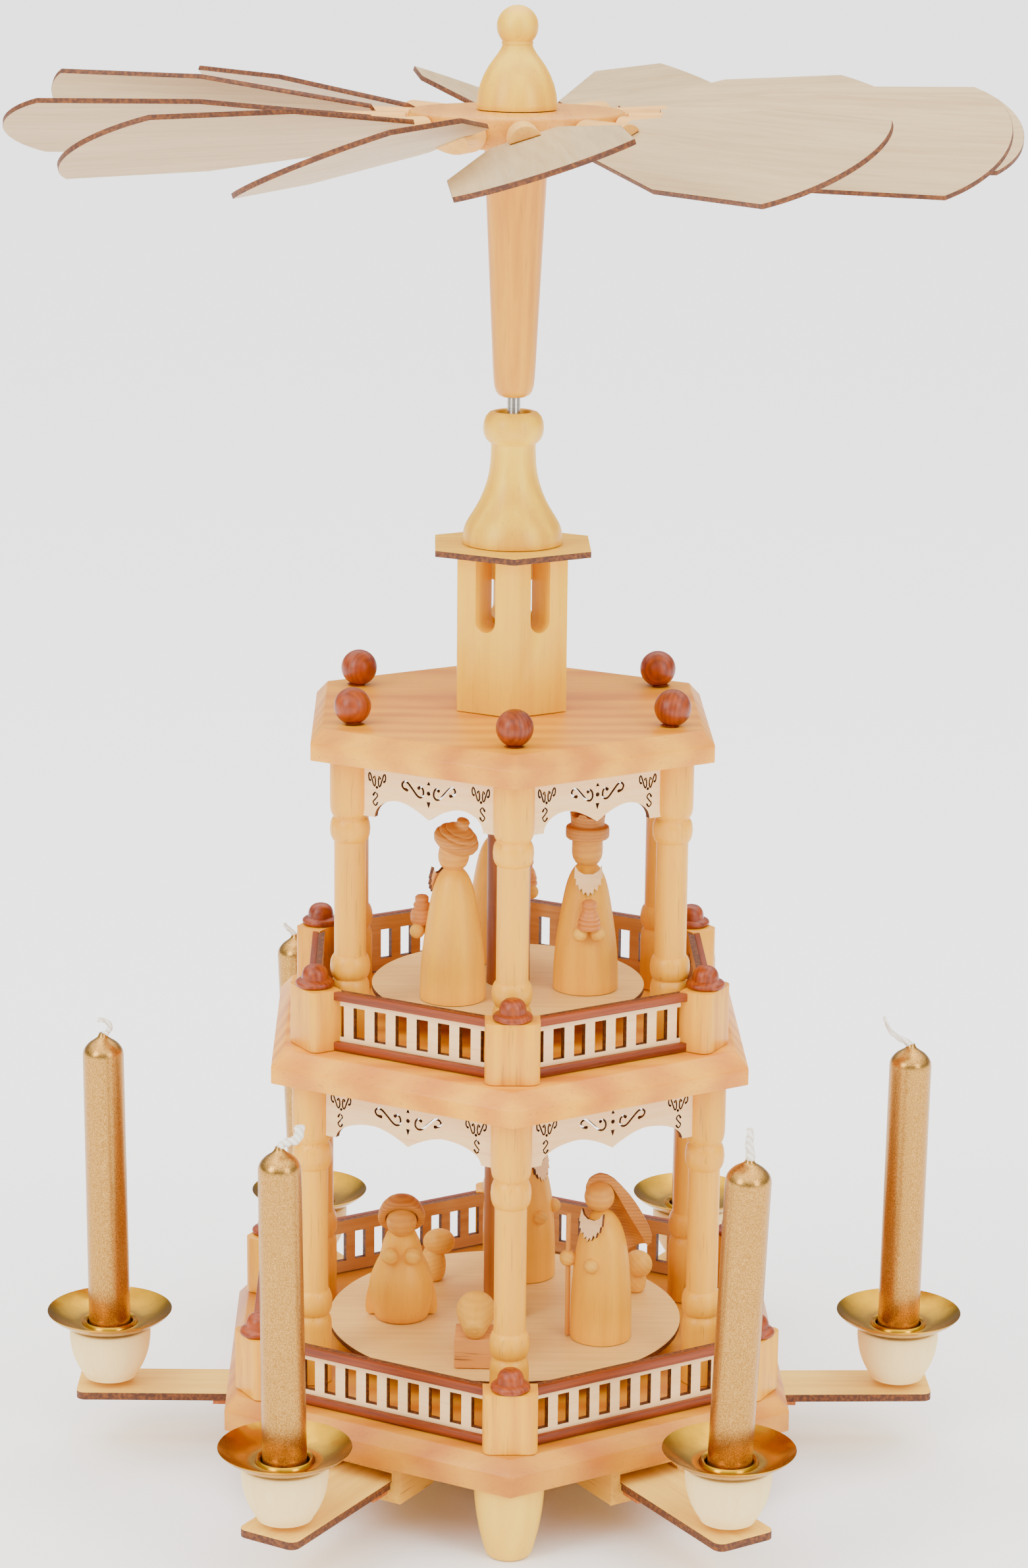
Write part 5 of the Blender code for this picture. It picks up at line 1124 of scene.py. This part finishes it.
cloak = turned_piece("woman_cloak", CLOAK_OUTLINE, body_wood, sides=56)


def halve(piece, low, high, front, edge):
    """Cut away the front half of a hollow piece and round the cut edges."""
    board = cut_board("front_block", box_loop(40, low, high), (), 24.0)
    board.data.transform(shift(0, front - 24.0, 0))
    cut_out(piece, board)
    soften(piece, edge, 2, 50)


halve(cloak, -5, 40, 0.4, 0.4)
face = turned_ball("woman_head", 5.0, head_wood)
face.data.transform(shift(0, -2.6, 33.6))
hood = turned_piece(
    "woman_hood", HOOD_OUTLINE, hat_wood, sides=44, lean=50, place=shift(0, -0.9, 34.3) @ spin(-56, 'X'),
)
pieces = [skirt, cloak, face, hood]
for side, name in ((-1, "woman_hand_left"), (1, "woman_hand_right")):
    place = shift(3.9 * side, -7.6, 23.4) @ spin(70 * side) @ Matrix.Scale(1.16, 4)
    pieces.append(copy_piece(hand, name, place))
stand_figure("kneeling_woman", woman_place, *pieces)

# Man with a staff: a tall body, a fringed ply beard, and a mantle, which is half of a thick turned
# shell that hoods his head and hangs behind him. One big hand holds a thin rod of bare matt wood.
man_place = shift(30.914, -19.72, LOWER_FLOOR) @ spin(-14)
coat = turned_body("man_body", 10.0, 43.6, body_wood, COAT_OUTLINE)
man_head = turned_ball("man_head", 4.9, head_wood)
man_head.data.transform(shift(-0.9, -0.9, 48.0))
MANTLE_OUTLINE = (
    (0.04, 4.2), (1.9, 3.6), (3.2, 2.0), (3.7, -1.5), (3.9, -8.0), (4.4, -16.0), (4.8, -22.0),
    (6.3, -21.6), (7.6, -19.6), (8.1, -16.5), (8.2, -12.5), (7.9, -8.0), (7.3, -4.0), (6.3, 0.0),
    (5.3, 3.2), (4.0, 5.4), (2.4, 6.8), (0.04, 7.4),
)
mantle = turned_piece("man_mantle", MANTLE_OUTLINE, hat_wood, sides=56, lean=50)
halve(mantle, -30, 20, -0.4, 0.5)
mantle.data.transform(shift(0.5, 0.2, 48.4) @ spin(14) @ spin(-27, 'Y'))
rod_wood = wood("bare_staff", "F7B44A", "CC842D", 'Z', ring_share=0.2, grain_share=0.5, roughness=0.6,
                coat=0.0)
staff = turned_piece(
    "man_staff", ((0.6, 0.0), (0.8, 0.3), (0.8, 41.7), (0.6, 42.0)), rod_wood, sides=20,
    place=shift(-10.6, -2.6, 0.0),
)
GRIP_OUTLINE = (
    (0.9, -2.45), (1.9, -2.1), (2.6, -1.1), (2.8, 0.0), (2.6, 1.1), (1.9, 2.1), (0.9, 2.45),
)
grip = turned_piece("man_grip", GRIP_OUTLINE, hand_wood, sides=32, place=shift(-10.6, -2.6, 26.7))
stand_figure(
    "man_with_staff", man_place, coat, man_head, mantle, staff, grip,
    copy_piece(hand, "man_hand", shift(-1.7, -9.0, 26.9) @ spin(30)),
    copy_piece(beard, "man_beard", spin(-26) @ shift(0.3, -5.9, 43.9)),
)

# Shepherd at the back: the same turned lime body with a brimmed hat, glued together like the
# others. One hand is raised a little above the other.
shepherd_place = shift(7.308, 36.482, LOWER_FLOOR) @ spin(55)
smock = turned_body("shepherd_body", 10.5, 44.0, body_wood, COAT_OUTLINE)
shepherd_head = turned_piece("shepherd_head", HEAD_OUTLINE, head_wood, sides=40, place=shift(0, 0, 46.9))
cap = turned_piece("shepherd_hat", CROWN_OUTLINE, hat_wood, sides=44, lean=35, place=shift(0, 0, 51.6))
stand_figure(
    "shepherd", shepherd_place, smock, shepherd_head, cap,
    copy_piece(beard, "shepherd_beard", shift(0, -5.9, 43.4)),
    copy_piece(hand, "shepherd_hand_left", shift(-4.3, -9.3, 22.9)),
    copy_piece(hand, "shepherd_hand_right", shift(4.6, -8.6, 24.6)),
)

# Sheep: two small turned bodies of bare lime, each with a long egg of a head glued across its
# top. They stand apart from each other near the rim of the lower disc.
SHEEP = (("sheep_1", -23.606, 30.508, 90, 4.4, 11.0), ("sheep_2", 44.428, 20.01, 20, 3.5, 8.0))
SHEEP_OUTLINE = (
    (0.66, 0.0), (0.78, 0.04), (0.92, 0.18), (1.0, 0.38), (0.98, 0.60), (0.86, 0.80), (0.62, 1.0),
)
for node, x, y, turn, radius, height in SHEEP:
    outline = [(r * radius, z * height) for r, z in SHEEP_OUTLINE]
    fleece = turned_piece(node + "_body", outline, hand_wood, sides=36)
    muzzle = turned_ball(node + "_head", 4.5, hand_wood, 1.2, 36)
    muzzle.data.transform(shift(0, -2.0, height + 2.25) @ spin(90, 'X'))
    stand_figure(node, shift(x, y, LOWER_FLOOR) @ spin(turn), fleece, muzzle)

# Crib: a plain sawn block of speckled pinkish beech that carries the wrapped child, a turned
# bullet laid on its side. Its small end shows the spiral marks of the lathe's point.
# Bare beech is dull, and its pores show as many brown specks.
crib_wood = wood("speckled_crib_beech", "EAA54E", "CC7E34", 'X', ring_share=0.15, flecks=0.8,
                 roughness=0.6, coat=0.0)
CHILD_OUTLINE = (
    (0.02, 0.0), (0.5, 0.02), (0.55, 0.3), (1.5, 0.3), (2.6, 0.6), (3.3, 1.4), (3.8, 2.7), (4.4, 5.0),
    (5.1, 7.6), (5.8, 10.0), (6.2, 12.0), (6.3, 13.8), (5.9, 15.4), (4.9, 16.5), (3.2, 17.0),
    (0.02, 17.0),
)
crib_place = shift(-10.208, -41.528, LOWER_FLOOR) @ spin(-3)
block = cut_board("crib_block", box_loop(13.0, 0.0, 9.8), (), 14.0)
block.data.transform(shift(0, -7.0, 0))
block.data.materials.append(crib_wood)
soften(block, 0.4)
child = turned_piece(
    "wrapped_child", CHILD_OUTLINE, hand_wood, sides=48, lean=45,
    place=shift(0, 0, 14.4) @ spin(-78, 'X') @ shift(0, 0, -8.5),
)
stand_figure("crib", crib_place, block, child)
discard(hand, beard)
